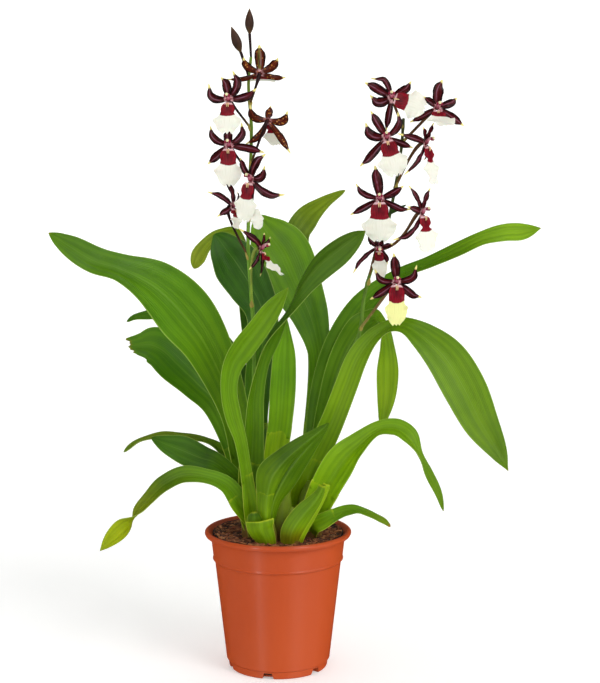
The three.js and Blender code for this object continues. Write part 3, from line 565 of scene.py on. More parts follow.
def potMaterial():
    material, tree, shader = newMaterial("potPlastic", pot["roughness"], Specular_IOR_Level=pot["gloss"],
                                         Anisotropic=pot["turned"], Anisotropic_Rotation=pot["turnedAngle"],
                                         Coat_Weight=pot["coat"], Coat_Roughness=pot["coatRoughness"])
    spot = place(tree)
    clouds = noiseAt(tree, spot, 9.0, 1.0)
    grain = noiseAt(tree, spot, 1400.0)
    first, second = (rgba(colour) for colour in pot["tones"])
    toShader(tree, shader, "Base Color", mixTones(tree, between(tree, clouds, 0.3, 0.7), first, second))
    low, high = pot["shine"]
    shine = add(tree, "MapRange", {0: clouds, 1: 0.2, 2: 0.8, 3: low, 4: high}).outputs[0]
    toShader(tree, shader, "Roughness", shine)
    bumpUp(tree, shader, grain, 0.1, 0.0001)
    turned = add(tree, "Tangent", direction_type="RADIAL", axis="Z").outputs[0]
    toShader(tree, shader, "Tangent", turned)
    return material


# The outline of the wall as corners of radius and height, each with its rounding: from the middle of the
# underside up the outside, over the rim and down the inside to the middle of the floor
def potProfile():
    top = pot["height"]
    rim = pot["rimRadius"]
    collar = top - pot["collarDrop"]
    under = top - pot["rimDepth"]
    foot = pot["footHeight"]
    base = potRadius(0) - pot["footInset"]
    step = potRadius(collar) + 1
    inside = potRadius(foot) - pot["wall"] - pot["footInset"]
    corners = [
        ((0, 0), 0), ((base - 0.8, 0), 0.4), ((base, 0.8), 0.4),
        ((potRadius(foot) - pot["footInset"], foot), 0.3), ((potRadius(foot), foot + 1), 0.4),
        ((potRadius(collar - 2), collar - 2.4), 0.5), ((potRadius(collar) + 0.4, collar - 1.6), 0.4),
        ((step + pot["bead"], collar - 0.6), 0.5), ((step, collar + 0.8), 0.5),
        ((potRadius(under) + 1, under), 0.6), ((rim - 0.9, under), 0.4), ((rim, under + 1.6), 0.6),
        ((rim - 0.1, top - 1.5), 0.6), ((rim - 1.6, top), 0.9), ((rim - 3.6, top - 0.3), 0.9),
        ((potRadius(top - 4) - 0.6, top - 4), 1.0), ((potRadius(collar - 2) - pot["wall"], collar - 2), 0),
        ((inside, foot), 1.0), ((inside - 1.2, pot["floor"]), 0.6), ((0, pot["floor"]), 0),
    ]
    return np.array(rounded([corner for corner, _ in corners], [radius for _, radius in corners]))


def notchCutters():
    half = pot["notchWidth"] / 2
    narrow = half - pot["notchTaper"]
    high = pot["notchHeight"]
    outline = [(-half - 0.4, -2), (half + 0.4, -2), (narrow, high), (-narrow, high)]
    sides = [(0, 1, 2, 3), (7, 6, 5, 4), (0, 4, 5, 1), (1, 5, 6, 2), (2, 6, 7, 3), (3, 7, 4, 0)]
    corners = []
    faces = []
    for index in range(pot["notches"]):
        turn = math.radians(pot["notchStart"] + 360 * index / pot["notches"])
        faces += [tuple(corner + len(corners) for corner in side) for side in sides]
        for radius in (potRadius(0) - 8, potRadius(0) + 4):
            for sideways, height in outline:
                corners.append((radius * math.sin(turn) + sideways * math.cos(turn),
                                -radius * math.cos(turn) + sideways * math.sin(turn), height))
    mesh = bpy.data.meshes.new("notchCutters")
    mesh.from_pydata((np.array(corners) * mm).tolist(), [], faces)
    solid = bmesh.new()
    solid.from_mesh(mesh)
    bmesh.ops.recalc_face_normals(solid, faces=solid.faces)
    solid.to_mesh(mesh)
    solid.free()
    cutter = bpy.data.objects.new("notchCutters", mesh)
    bpy.context.scene.collection.objects.link(cutter)
    return cutter


def buildPot():
    profile = potProfile()
    ring = profile[1:-1]
    angle = ringAngles(pot["segments"])
    x = ring[:, :1] * np.cos(angle)[None, :]
    y = ring[:, :1] * np.sin(angle)[None, :]
    z = np.repeat(ring[:, 1:], pot["segments"], axis=1)
    verts = np.stack([x, y, z], axis=-1).reshape(-1, 3)
    verts = np.vstack([verts, [[0, 0, profile[0][1]], [0, 0, profile[-1][1]]]])
    shell = part(verts, cappedFaces(len(ring), pot["segments"]), rgb(*pot["tones"][0]))
    piece = makePiece("pot_shell", [shell], [potMaterial()], ["pot"])
    cutter = notchCutters()
    cut = piece.modifiers.new("notches", "BOOLEAN")
    cut.object = cutter
    cut.operation = "DIFFERENCE"
    cut.solver = "EXACT"
    applyModifiers(piece)
    piece.data.set_sharp_from_angle(angle=math.radians(pot["creaseAngle"]))
    bpy.data.objects.remove(cutter)


def applyModifiers(piece):
    graph = bpy.context.evaluated_depsgraph_get()
    mesh = bpy.data.meshes.new_from_object(piece.evaluated_get(graph))
    piece.modifiers.clear()
    piece.data = mesh


buildPot()
print("pot done")


# Potting bark: a rough bed with loose chips on it

bark = {
    "top": 109.0, "relief": 0.75, "heap": 1.2, "rise": 1.9,
    "rings": 22, "sectors": 96, "bedDrop": 0.9, "bedTone": (66, 40, 28),
    "seed": 11, "chips": 2600, "chipSize": (2.4, 7.5), "smallShare": 0.55, "smallSize": 0.55,
    "chipBreadth": (0.35, 0.6), "chipHeight": (0.16, 0.3), "chipSunk": 0.4, "brightness": (0.85, 1.4),
    "tones": [(138, 74, 38), (156, 86, 46), (104, 56, 30), (172, 104, 60), (186, 122, 74), (80, 44, 24)],
    "roughness": 0.88, "lanes": (1.0, 6.0), "fibreTint": (0.5, 0.46, 0.42, 1), "crumb": (176, 136, 100),
    "crumbShare": 0.5, "grainDepth": 0.0006, "grainStrength": 0.9,
}
# The bulbs of the crown, which stand clear of the chips
bulbs = [
    {"x": -19, "y": -10, "radius": 13.0, "flat": 0.80, "top": 156},
    {"x": -9, "y": -34, "radius": 10.5, "flat": 0.85, "top": 136},
    {"x": 4, "y": -20, "radius": 10.0, "flat": 0.80, "top": 172},
    {"x": 25, "y": -10, "radius": 13.5, "flat": 0.80, "top": 156},
    {"x": 12, "y": -34, "radius": 8.4, "flat": 0.85, "top": 140},
]
bulbTies = [(0, 2), (1, 2), (2, 3), (2, 4)]  # the rhizome runs between these


def barkMaterial():
    material, tree, shader = newMaterial("barkChips", bark["roughness"])
    spot = place(tree)
    along = layer(tree, "along")
    across = layer(tree, "across")
    fibres = noiseAt(tree, lanesOn(tree, across, along, bark["lanes"]), 3.0, 5.0, 0.7)
    crumbs = noiseAt(tree, spot, 600.0, 4.0, 0.7)
    tone = tintWhere(tree, fibres, 0.4, 0.62, layer(tree, "tone", "Color"), bark["fibreTint"])
    tone = paintWhere(tree, between(tree, crumbs, 0.6, 0.72), bark["crumbShare"], tone, bark["crumb"])
    toShader(tree, shader, "Base Color", tone)
    bumpUp(tree, shader, calc(tree, "ADD", fibres, crumbs), bark["grainStrength"], bark["grainDepth"])
    return material


def barkHeight(x, y):
    share = np.hypot(x, y) / 50
    chips = np.sin(0.83 * x + 1.7) * np.sin(0.71 * y + 0.4) + 0.6 * np.sin(1.9 * x - 1.3 * y)
    return bark["top"] + bark["heap"] + bark["rise"] * share ** 4 + bark["relief"] * chips


def barkBed():
    floor = pot["floor"] + 0.35
    edge = potRadius(bark["top"]) - 0.5
    sectors = bark["sectors"]
    angle = ringAngles(sectors)
    rings = []
    for share in np.linspace(0.04, 1, bark["rings"]):
        x = edge * share * np.cos(angle)
        y = edge * share * np.sin(angle)
        rings.append(np.stack([x, y, barkHeight(x, y) - bark["bedDrop"]], axis=-1))
    lower = potRadius(pot["footHeight"]) - pot["wall"] - pot["footInset"] - 0.5
    sides = ((edge - 0.7, bark["top"] + 0.7), (lower, pot["footHeight"] + 0.5), (lower - 1.8, floor))
    for radius, z in sides:
        rings.append(np.stack([radius * np.cos(angle), radius * np.sin(angle), np.full(sectors, z)], axis=-1))
    verts = np.vstack(rings + [[[0, 0, barkHeight(0, 0) - bark["bedDrop"]]], [[0, 0, floor]]])
    faces = cappedFaces(len(rings), sectors, True)
    return part(verts, faces, rgb(*bark["bedTone"]), verts[:, 0] / 6, verts[:, 1] / 6)


# Points turned in the plane of two axes
def spun(points, angle, first, second):
    turn = np.eye(3)
    turn[first, first] = turn[second, second] = math.cos(angle)
    turn[first, second] = -math.sin(angle)
    turn[second, first] = math.sin(angle)
    return points @ turn.T


# A lump with six sides, laid down on the bed at a random turn
def chipPart(rng, x, y, size, tone):
    breadth = size * rng.uniform(*bark["chipBreadth"])
    height = size * rng.uniform(*bark["chipHeight"])
    corners = []
    stations = 4
    sides = 6
    for i in range(stations):
        s = i / (stations - 1) * 2 - 1
        shrink = (1 - 0.35 * s * s) * rng.uniform(0.85, 1.1)
        for j in range(sides):
            angle = 2 * math.pi * j / sides + 0.4
            jitter = rng.uniform(0.8, 1.15)
            corners.append((s * size / 2, math.cos(angle) * breadth / 2 * shrink * jitter,
                            math.sin(angle) * height / 2 * shrink * jitter))
    faces = gridFaces(stations, sides)
    faces.append(tuple(range(sides))[::-1])
    faces.append(tuple((stations - 1) * sides + j for j in range(sides)))
    local = np.array(corners)
    turn = rng.uniform(0, 2 * math.pi)
    tilt = rng.uniform(-0.35, 0.35)
    roll = rng.uniform(-0.5, 0.5)
    laid = spun(spun(spun(local, roll, 1, 2), tilt, 2, 0), turn, 0, 1)
    laid += [x, y, float(barkHeight(x, y)) - bark["chipSunk"]]
    seed = rng.uniform(0, 40)
    faces = [face[::-1] for face in faces]
    return part(laid, faces, tone, local[:, 0] / 3 + seed, local[:, 1] / 1.6 + seed)


def buildBark():
    rng = random.Random(bark["seed"])
    parts = [barkBed()]
    edge = potRadius(bark["top"]) - 0.8
    for _ in range(bark["chips"]):
        angle = rng.uniform(0, 2 * math.pi)
        size = rng.uniform(*bark["chipSize"])
        if rng.random() < bark["smallShare"]:
            size *= bark["smallSize"]
        distance = math.sqrt(rng.random()) * (edge - size * 0.42)
        x = distance * math.cos(angle)
        y = distance * math.sin(angle)
        tone = rgb(*rng.choice(bark["tones"])) * rng.uniform(*bark["brightness"])
        if any(math.hypot(x - b["x"], (y - b["y"]) / b["flat"]) < b["radius"] * 0.8 for b in bulbs):
            continue
        parts.append(chipPart(rng, x, y, size, tone))
    piece = makePiece("bark_bed", parts, [barkMaterial()], ["potting_bark"])
    for polygon in piece.data.polygons[len(parts[0]["faces"]):]:  # the chips keep their edges
        polygon.use_smooth = False


buildBark()
print("bark done")


# Leaves: rows of [x, y, z, half width, roll] from the crown out to the tip, the row where the sheath ends,
# the folds at base and tip, and the greens near the base, in the middle and at the tip. Some have a sheath of
# another green or with a slanted end, a torn or dry tip, or a far half behind the fold

awayFromViewer = np.array([0.0, 1.0, 0.0])
leafShape = {"along": 84, "across": 26, "thick": 1.1, "edge": 0.42, "soft": 0.06, "sharp": 0.05,
             "pleats": (2.0, 0.2), "waves": ((1.6, 0.5), (4.3, 0.22))}
leaves = {
    "leaf_left_long": {
        "sheath": 2.2, "folds": (35, 12), "greens": [(90, 134, 36), (82, 132, 28), (80, 124, 30)],
        "rows": [
            [-20.6, -6.1, 107, 6, 0], [-25, 3, 137, 8.5, 0], [-31, 3, 175, 9, 5], [-37, 0, 216, 13.5, 10],
            [-56, -8, 264, 20.5, 20], [-75, -16, 293, 25.5, 25], [-96, -24, 315, 22, 30],
            [-121, -32, 329, 13.5, 35], [-142, -36, 336, 12.5, 35], [-160, -40, 347, 9.5, 30],
            [-176, -44, 358, 2, 20],
        ],
    },
    "leaf_left_torn": {
        "sheath": 2.2, "folds": (35, 12), "greens": [(92, 142, 36), (76, 130, 32), (82, 132, 40)],
        "torn": True,
        "rows": [
            [-20.6, -5.6, 109.5, 6, 0], [-27, 15, 134, 8.5, 0], [-35, 17, 174, 10, 5],
            [-50, 22, 212, 13, 10], [-68, 28, 231, 15.5, 15], [-84, 32, 246, 18.5, 20],
            [-95, 36, 256, 17.5, 22], [-105, 38, 261, 16, 25], [-115, 39, 261, 10.5, 25],
            [-124, 39, 260, 7, 25],
        ],
    },
    "leaf_left_back": {
        "sheath": 2.3, "folds": (35, 15), "greens": [(70, 118, 28), (62, 108, 26), (72, 120, 30)],
        "rows": [
            [-19, -5.5, 109.9, 6, 0], [-22, 32, 131, 8, 0], [-27, 36, 181, 8.5, 10],
            [-33, 40, 231, 9.5, 15], [-42, 44, 257, 7.5, 25], [-66, 50, 277, 8, 35],
            [-96, 54, 285, 6.5, 40], [-112, 57, 284, 4.5, 40], [-122, 60, 282, 3, 35],
            [-129, 62, 278, 1, 30],
        ],
    },
    "leaf_left_arched": {
        # its greyish middle and tip greens are partly a painted sheen, over the leaf's own green
        "sheath": 2.3, "folds": (30, 15), "greens": [(96, 134, 50), (118, 142, 86), (104, 134, 66)],
        "rows": [
            [-20.1, -5.6, 110.2, 6, 0], [-24, 22, 129, 7.5, 0], [-31, 25, 156, 7.5, 20],
            [-48, 29, 174, 7, 60], [-61, 32, 181, 5, 70], [-79, 37, 183, 5.5, 72],
            [-97, 42, 184, 5.5, 72], [-115, 50, 179, 4.5, 70], [-126, 56, 172, 3.5, 60],
            [-133, 60, 166, 1, 50],
        ],
    },
    "leaf_left_short": {
        "sheath": 2.4, "folds": (35, 12), "greens": [(84, 130, 28), (50, 88, 10), (60, 104, 18)],
        "rows": [
            [-20.1, -10.6, 108.2, 6, 0], [-21, -8, 127, 7.5, 0], [-28, -9, 146, 8, 10],
            [-38, -12, 161, 8, 20], [-50, -16, 172, 8.5, 25], [-62, -20, 177, 11, 28],
            [-76, -25, 184, 12, 30], [-89, -30, 190, 7.5, 30], [-100, -34, 196, 1, 20],
        ],
    },
    "leaf_left_low": {
        # its pale greyish tip green is partly a painted highlight on the twisted tip, over the leaf's own
        # green
        "sheath": 2.4, "folds": (35, 10), "greens": [(92, 138, 36), (76, 108, 40), (160, 172, 70)],
        "rows": [
            [-18.4, -12.2, 107, 6, 0], [-18, -16, 121, 7.5, 0], [-30, -21, 140, 9, 15],
            [-41, -26, 156, 7.5, 30], [-57, -32, 164, 7, 45], [-74, -40, 167, 8.5, 45],
            [-89, -48, 161, 8.5, 45], [-100, -54, 151, 7, 50], [-108, -58, 142, 9.5, 75],
            [-117, -61, 132, 12, 125], [-127, -65, 123, 8, 145], [-137, -68, 113, 1, 150],
        ],
    },
    "leaf_back_hanging": {
        "sheath": 2.2, "folds": (35, 12), "greens": [(72, 120, 30), (112, 144, 92), (134, 154, 112)],
        "rows": [
            [-16.8, -5.5, 109.2, 6, 0], [-14, 34, 147, 6, 0], [-17, 52, 212, 7.5, 0],
            [-25, 67, 279, 8.5, 10], [-31, 80, 327, 8, 30], [-38, 94, 350, 8, 60],
            [-51, 99, 350, 7.5, 60], [-62, 102, 342, 8, 45], [-70, 105, 331, 8.5, 30],
            [-75, 107, 320, 3, 20],
        ],
    },
    "leaf_back_dark": {
        "sheath": 2.3, "folds": (30, 12), "greens": [(74, 124, 22), (48, 96, 12), (52, 100, 16)],
        "rows": [
            [-17.9, -5.6, 109.5, 6, 0], [-17, 14, 135, 7.5, 0], [-18, 20, 184, 9, 0],
            [-17, 28, 229, 11.5, 0], [-13, 36, 265, 12.5, -5], [-14, 44, 290, 15, -5],
            [-24, 52, 310, 19.5, -5], [-35, 58, 327, 21, -3], [-44, 61, 339, 15.5, 0],
            [-50, 64, 347, 9.5, 5], [-55, 66, 352, 1.5, 0],
        ],
    },
    "leaf_back_broad": {
        "sheath": 2.3, "folds": (30, 10), "greens": [(108, 156, 44), (90, 142, 28), (104, 152, 52)],
        "rows": [
            [22.2, -7.2, 109.9, 6, 0], [16, 18, 134, 11, 0], [22, 26, 159, 10, 0], [29, 32, 182, 9, 0],
            [33, 41, 214, 9.5, 0], [34, 52, 251, 9.5, 0], [27, 60, 282, 16, 0], [16, 66, 307, 21.5, 5],
            [4, 72, 334, 24.5, 8], [-7, 77, 349, 20, 8], [-14, 80, 359, 12, 4], [-19, 82, 368, 2.5, 0],
        ],
    },
    "leaf_back_pointed": {
        "sheath": 2.1, "folds": (30, 12), "greens": [(82, 124, 30), (90, 120, 34), (112, 138, 44)],
        "rows": [
            [21.1, -6.7, 110.2, 6, 0], [19, 39, 129, 6, 0], [28, 60, 185, 7.5, 0], [32, 80, 252, 8, 0],
            [20, 94, 307, 11.5, 0], [15, 104, 345, 11, 0], [23, 112, 363, 11, 0], [39, 118, 377, 6, 0],
            [58, 124, 388, 1.5, 0],
        ],
    },
    "leaf_centre_twisted": {
        "sheath": 2.2, "folds": (35, 14), "greens": [(78, 120, 24), (68, 110, 18), (72, 106, 36)],
        "rows": [
            [-17.9, -12.2, 106.6, 6, 0], [-21, -14, 131, 11.5, 0], [-21, -18, 167, 11.5, 5],
            [-19, -22, 200, 9, 15], [-18, -26, 226, 9, 40], [-13, -30, 253, 10.5, 60],
            [-4, -34, 276, 16, 75], [9, -38, 296, 10.5, 95], [21, -42, 316, 9.5, 130],
            [34, -46, 332, 11.5, 145], [48, -50, 344, 11, 150], [59, -53, 353, 7.5, 155],
            [68, -55, 360, 1.5, 155],
        ],
    },
    "leaf_front_pale": {
        "sheath": 2.2, "folds": (35, 14), "greens": [(102, 146, 42), (94, 140, 32), (100, 142, 36)],
        "rows": [
            [-17.4, -13.3, 107, 6, 0], [-20, -24, 131, 7.5, 0], [-24, -28, 160, 5.5, 10],
            [-29, -32, 192, 5.5, 15], [-35, -36, 214, 7, 15], [-38, -40, 235, 7, 20],
            [-35, -44, 254, 8.5, 20], [-26, -48, 269, 10, 15], [-14, -52, 285, 9, 10],
            [-2, -56, 302, 7, 5], [9, -60, 317, 1, 0],
        ],
    },
    "leaf_centre_upright": {
        "sheath": 2.75, "folds": (35, 12), "greens": [(116, 166, 44), (106, 160, 36), (96, 148, 32)],
        "sheathGreen": (134, 176, 52), "slant": -4,
        "rows": [
            [-15.7, -7.8, 107, 6, 0], [-8, 4, 137, 7.5, 0], [-2, 8, 174, 10, 0], [2, 10, 202, 10.5, 0],
            [4, 12, 231, 11, 5], [5, 14, 256, 9.5, 8], [6, 15, 272, 5, 8], [6, 16, 286, 1.5, 8],
        ],
    },
    "leaf_right_long": {
        "sheath": 2.3, "folds": (30, 10), "greens": [(90, 138, 36), (80, 130, 34), (120, 164, 54)],
        "rows": [
            [24.4, -6.7, 109.5, 6, 0], [25, 17, 130, 7.5, 0], [30, 22, 175, 9, -5],
            [36, 27, 220, 10.5, -10], [50, 34, 259, 13.5, -20], [70, 42, 293, 12, -35],
            [99, 50, 317, 8.5, -58], [126, 54, 328, 9.5, -62], [149, 57, 338, 10.5, -60],
            [170, 60, 348, 8, -45], [189, 63, 353, 8, -30], [206, 66, 354, 7.5, -25],
            [222, 68, 357, 1, -20],
        ],
    },
    "leaf_right_folded": {
        "sheath": 2.3, "folds": (30, 12), "greens": [(90, 136, 34), (86, 130, 32), (126, 162, 50)],
        "rows": [
            [25.6, -8.9, 107.6, 6, 0], [29, 8, 132, 7.5, 0], [33, 8, 174, 8, 0], [41, 8, 215, 9.5, -5],
            [52, 8, 251, 11.5, -10], [66, 10, 276, 12.5, -20], [78, 14, 286, 11.5, -60],
            [85, 19, 279, 13.5, -75], [89, 22, 263, 8.5, -45], [90, 23, 240, 9.5, -15],
            [89, 22, 217, 7.5, -5], [85, 21, 192, 1.5, 0],
        ],
    },
    "leaf_right_broad": {
        "sheath": 2.2, "folds": (35, 10), "greens": [(116, 156, 48), (98, 142, 50), (98, 136, 60)],
        "rows": [
            [22.2, -11.1, 107.9, 6, 0], [19, -4, 132, 11.5, 0], [28, -7, 168, 12, 0],
            [43, -10, 202, 10.5, -5], [54, -13, 231, 10, -10], [64, -16, 257, 9.5, -20],
            [76, -19, 274, 8, -40], [89, -23, 283, 8, -60], [101, -28, 284, 8, -40],
            [115, -34, 276, 12, -20], [132, -40, 260, 16.5, -12], [146, -47, 237, 17.5, -8],
            [158, -53, 212, 14.5, -5], [170, -58, 192, 8.5, 0], [179, -63, 175, 1, 0],
        ],
    },
    "leaf_right_arching": {
        "sheath": 2.1, "folds": (40, 14), "greens": [(128, 174, 48), (108, 154, 44), (98, 138, 44)],
        "rows": [
            [26.1, -12.2, 106.6, 6, 0], [27, -18, 126, 11, 0], [38, -26, 153, 14, -10],
            [51, -32, 176, 14.5, -20], [64, -38, 191, 11, -40], [79, -44, 204, 8.5, -60],
            [93, -50, 206, 9.5, -55], [103, -55, 200, 9.5, -50], [111, -58, 186, 6.5, -70],
            [118, -61, 172, 4.5, -35], [125, -64, 158, 3, -10], [129, -66, 144, 1, 0],
        ],
    },
    "leaf_right_small": {
        "sheath": 2.9, "folds": (35, 12), "greens": [(104, 152, 50), (100, 148, 56), (112, 140, 58)],
        "dryTip": True,
        "rows": [
            [25, -11.1, 107, 6, 0], [27, -24, 121, 7.5, 0], [36, -29, 127, 7, -15],
            [47, -34, 134, 5.5, -30], [56, -38, 138, 5, -45], [65, -42, 139, 4, -50],
            [75, -46, 136, 3.5, -50], [84, -49, 132, 2.5, -40], [89, -51, 128, 1, -30],
        ],
    },
    "leaf_front_folded": {
        "sheath": 2.2, "folds": (-52, -36), "greens": [(92, 130, 30), (70, 106, 16), (76, 116, 22)],
        "rows": [
            [-8, -33, 106, 6, 0], [-9, -37, 130, 9.5, 0], [-8, -40, 150, 11.5, 0], [-4, -42, 166, 16.5, 0],
            [6, -44, 180, 11.5, 0], [18, -46, 191, 8.5, 0], [30, -48, 201, 5, 0], [41, -50, 210.5, 1, 0],
        ],
        "farHalf": [
            [-6, -35, 128, 6, 0], [-3, -36.5, 145, 9, 0], [4, -38, 161, 14, 0], [13, -40, 176, 13, 0],
            [24, -43, 190, 9, 0], [34, -46, 202, 4.5, 0], [40.5, -49, 210, 0.8, 0],
        ],
    },
}


def leafTone(leaf):
    low, middle, high = leaf["greens"]
    stops = [(0, low), (0.16, low), (0.42, middle), (0.85, high), (1, high)]

    def tone(s, u, verts):
        colour = blendTones(stops, s)
        if leaf.get("dryTip"):
            dry = smoothStep(0.9, 0.97, s)[:, None]
            colour = colour * (1 - dry) + rgb(*leafFinish["dry"]) * dry
        if leaf.get("torn"):
            torn = smoothStep(0.955, 0.99, s)[:, None] * leafFinish["tornShare"]
            colour = colour * (1 - torn) + rgb(*leafFinish["torn"]) * torn
        tip = smoothStep(0.985, 1.0, s)[:, None] * leafFinish["tipShare"]
        return colour * (1 - tip) + rgb(*leafFinish["tip"]) * tip

    return tone


def sheathShare(leaf):
    return leaf["sheath"] / (len(leaf["rows"]) - 1)


def tornEnd(s, u, tangent):
    jag = 1.3 * np.sin(5.1 * u + 0.6) + 0.7 * np.sin(15.0 * u + 1.0) - 2.2 * u
    return tangent * (smoothStep(0.9, 1.0, s) * jag)[..., None]


def buildLeaves():
    for index, (name, leaf) in enumerate(leaves.items()):
        start = sheathShare(leaf) - 0.25 / (len(leaf["rows"]) - 1)  # a little inside the sheath
        look = dict(leafShape, folds=leaf["folds"], span=(start, 1), phase=1.7 * index)
        if leaf.get("torn"):
            look["sharp"] = 0
            look["shift"] = tornEnd
        parts = [bladePart(leaf["rows"], look, awayFromViewer, leafTone(leaf))]
        if "farHalf" in leaf:
            look["span"] = (0, 1)
            parts.append(bladePart(leaf["farHalf"], look, awayFromViewer, leafTone(leaf)))
        makePiece(name + "_blade", parts, [leafSkin], [name])


buildLeaves()
print("leaves done:", len(leaves))


# Crown: bulbs, rhizome, the clasping leaf sheaths and two cut stumps

crown = {
    "ridges": 9, "ridgeDepth": 0.03, "sunk": 10, "sides": 54, "rings": 26,
    "outline": [(0.8, 0.0), (0.86, 0.1), (0.8, 0.4), (0.52, 0.8), (0.05, 1.0)],
    "bulbTones": [(106, (112, 84, 36)), (114, (112, 84, 36)), (128, (114, 134, 30)), (172, (124, 152, 30))],
    "tieRadius": 4.0, "tieTone": (96, 62, 44), "rim": (196, 208, 128),
    "yellowGreen": (136, 176, 46), "yellowBelow": 122, "stumpYellowTop": 140,
    "purple": (112, 66, 52), "stainTop": 118, "stainFull": 109,
}
sheathShape = {"along": 36, "across": 20, "thick": 1.9, "edge": 0.45, "soft": 0.08, "widen": 1.03,
               "pleats": leafShape["pleats"], "waves": ((1.2, 0.3),)}
stumpShape = {"along": 30, "across": 20, "thick": 1.4, "edge": 0.6, "soft": 0.1}
stumps = [
    {"folds": (-30, -20), "green": (84, 124, 20),
     "rows": [[-5, -38, 102, 5.5, 0], [-9, -41, 115, 8.5, 0], [-13, -43, 124, 11, 0],
              [-14, -44, 131, 12, 0]]},
    # this part's darker green is painted shade for the inside of the curl
    {"folds": (-10, -30), "green": (54, 94, 16), "sharp": 0.32,  # the curled back of the first stump
     "rows": [[-8, -35, 104, 4, 0], [-13, -37.5, 118, 5.5, 0], [-17.5, -39.5, 128, 6.8, 0],
              [-18.5, -40, 137.5, 7.2, 0]]},
    {"folds": (-20, -40), "green": (94, 134, 14), "stain": 10,
     "rows": [[10, -38, 103, 5, 0], [11, -40, 120, 9.5, 0], [20, -41, 135, 9.5, 0], [29, -42, 146, 7, 0],
              [34, -43, 154, 4.5, 0], [36, -43, 159, 4, 0]]},
    {"folds": (-20, -40), "green": (132, 168, 50),  # its far half
     "rows": [[13, -36, 103, 5, 0], [15, -37.5, 120, 9, 0], [24, -38.5, 136, 9, 0], [32.5, -40, 148, 6.5, 0],
              [37.5, -41, 156, 4.3, 0], [39, -41, 160, 3.5, 0]]},
]


def bulbPart(bulb):
    outline = np.array(crown["outline"])
    s = np.linspace(0, 1, crown["rings"])
    radius = np.interp(s, outline[:, 1], outline[:, 0]) * bulb["radius"]
    radius = np.convolve(np.pad(radius, 2, "edge"), np.ones(5) / 5, "valid")
    height = bark["top"] + (bulb["top"] - bark["top"]) * s
    radius = np.concatenate([[radius[0]], radius])
    height = np.concatenate([[bark["top"] - crown["sunk"]], height])
    sides = crown["sides"]
    angle = ringAngles(sides)
    ridge = 1 - crown["ridgeDepth"] * np.abs(np.sin(crown["ridges"] * angle / 2 + bulb["x"]))
    x = bulb["x"] + radius[:, None] * np.cos(angle) * ridge
    y = bulb["y"] + radius[:, None] * np.sin(angle) * ridge * bulb["flat"]
    z = np.repeat(height[:, None], sides, axis=1)
    verts = np.stack([x, y, z], axis=-1).reshape(-1, 3)
    verts = np.vstack([verts, [[bulb["x"], bulb["y"], height[0]], [bulb["x"], bulb["y"], bulb["top"]]]])
    tones = blendTones(crown["bulbTones"], verts[:, 2])
    return part(verts, cappedFaces(len(height), sides), tones)


# A sheath is stained purple at the bark, yellow green above it and its leaf's green at the top, with a light
# rim
def sheathTone(leafGreen, top, endRim, stained=0):
    def tone(s, u, verts):
        height = verts[:, 2]
        green = rgb(*leafGreen)
        pale = rgb(*crown["yellowGreen"])
        share = smoothStep(top, crown["yellowBelow"], height)[:, None] * 0.5
        colour = green * (1 - share) + pale * share
        clear = crown["stainTop"] + stained
        full = crown["stainFull"] + stained / 2
        stain = smoothStep(clear, full, height)[:, None] * 0.6
        colour = colour * (1 - stain) + rgb(*crown["purple"]) * stain
        end = smoothStep(0.95, 0.985, s) * endRim
        rim = np.maximum(smoothStep(0.93, 0.995, np.abs(u)), end)[:, None] * 0.6
        return colour * (1 - rim) + rgb(*crown["rim"]) * rim

    return tone


def slanted(amount):  # one side of a sheath's end stands higher
    def shift(s, u, tangent):
        return tangent * (smoothStep(0.75, 1.0, s) * u * amount)[..., None]

    return shift


def buildCrown():
    parts = [bulbPart(bulb) for bulb in bulbs]
    for first, second in bulbTies:
        ends = [[bulbs[i]["x"], bulbs[i]["y"], bark["top"] - 2.0] for i in (first, second)]
        points = curveAt(ends, np.linspace(0, 1, 12))
        parts.append(tubePart(points, np.full(12, crown["tieRadius"]), 16, crown["tieTone"]))
    for index, leaf in enumerate(leaves.values()):
        share = sheathShare(leaf)
        look = dict(sheathShape, folds=leaf["folds"], span=(0, share), phase=index,
                    shift=slanted(leaf.get("slant", 0)))
        top = curveAt(leaf["rows"], [share])[0][2]
        tone = sheathTone(leaf.get("sheathGreen", leaf["greens"][0]), top, 0.5)
        parts.append(bladePart(leaf["rows"], look, awayFromViewer, tone, 1))
    for stump in stumps:
        look = dict(stumpShape, folds=stump["folds"], sharp=stump.get("sharp", 0))
        tone = sheathTone(stump["green"], crown["stumpYellowTop"], 1.0, stump.get("stain", 0))
        parts.append(bladePart(stump["rows"], look, awayFromViewer, tone, 1))
    makePiece("crown_sheaths", parts, [sheathSkin, leafSkin], ["crown"])


buildCrown()
print("crown done")


# Flower spikes: rachis points and, for each bloom, its place, the way it faces, the height where its stalk
# leaves the rachis, the lip's [angle, reach, lift], and five tepals from the dorsal one as
# [angle, reach, lift, sideways bow, sideways hook at the tip, breadth]. heart and fan scale the widths of a
# lip's two halves, lobe is a side lobe of its fan, and striped is the tepal with a stripe down its back

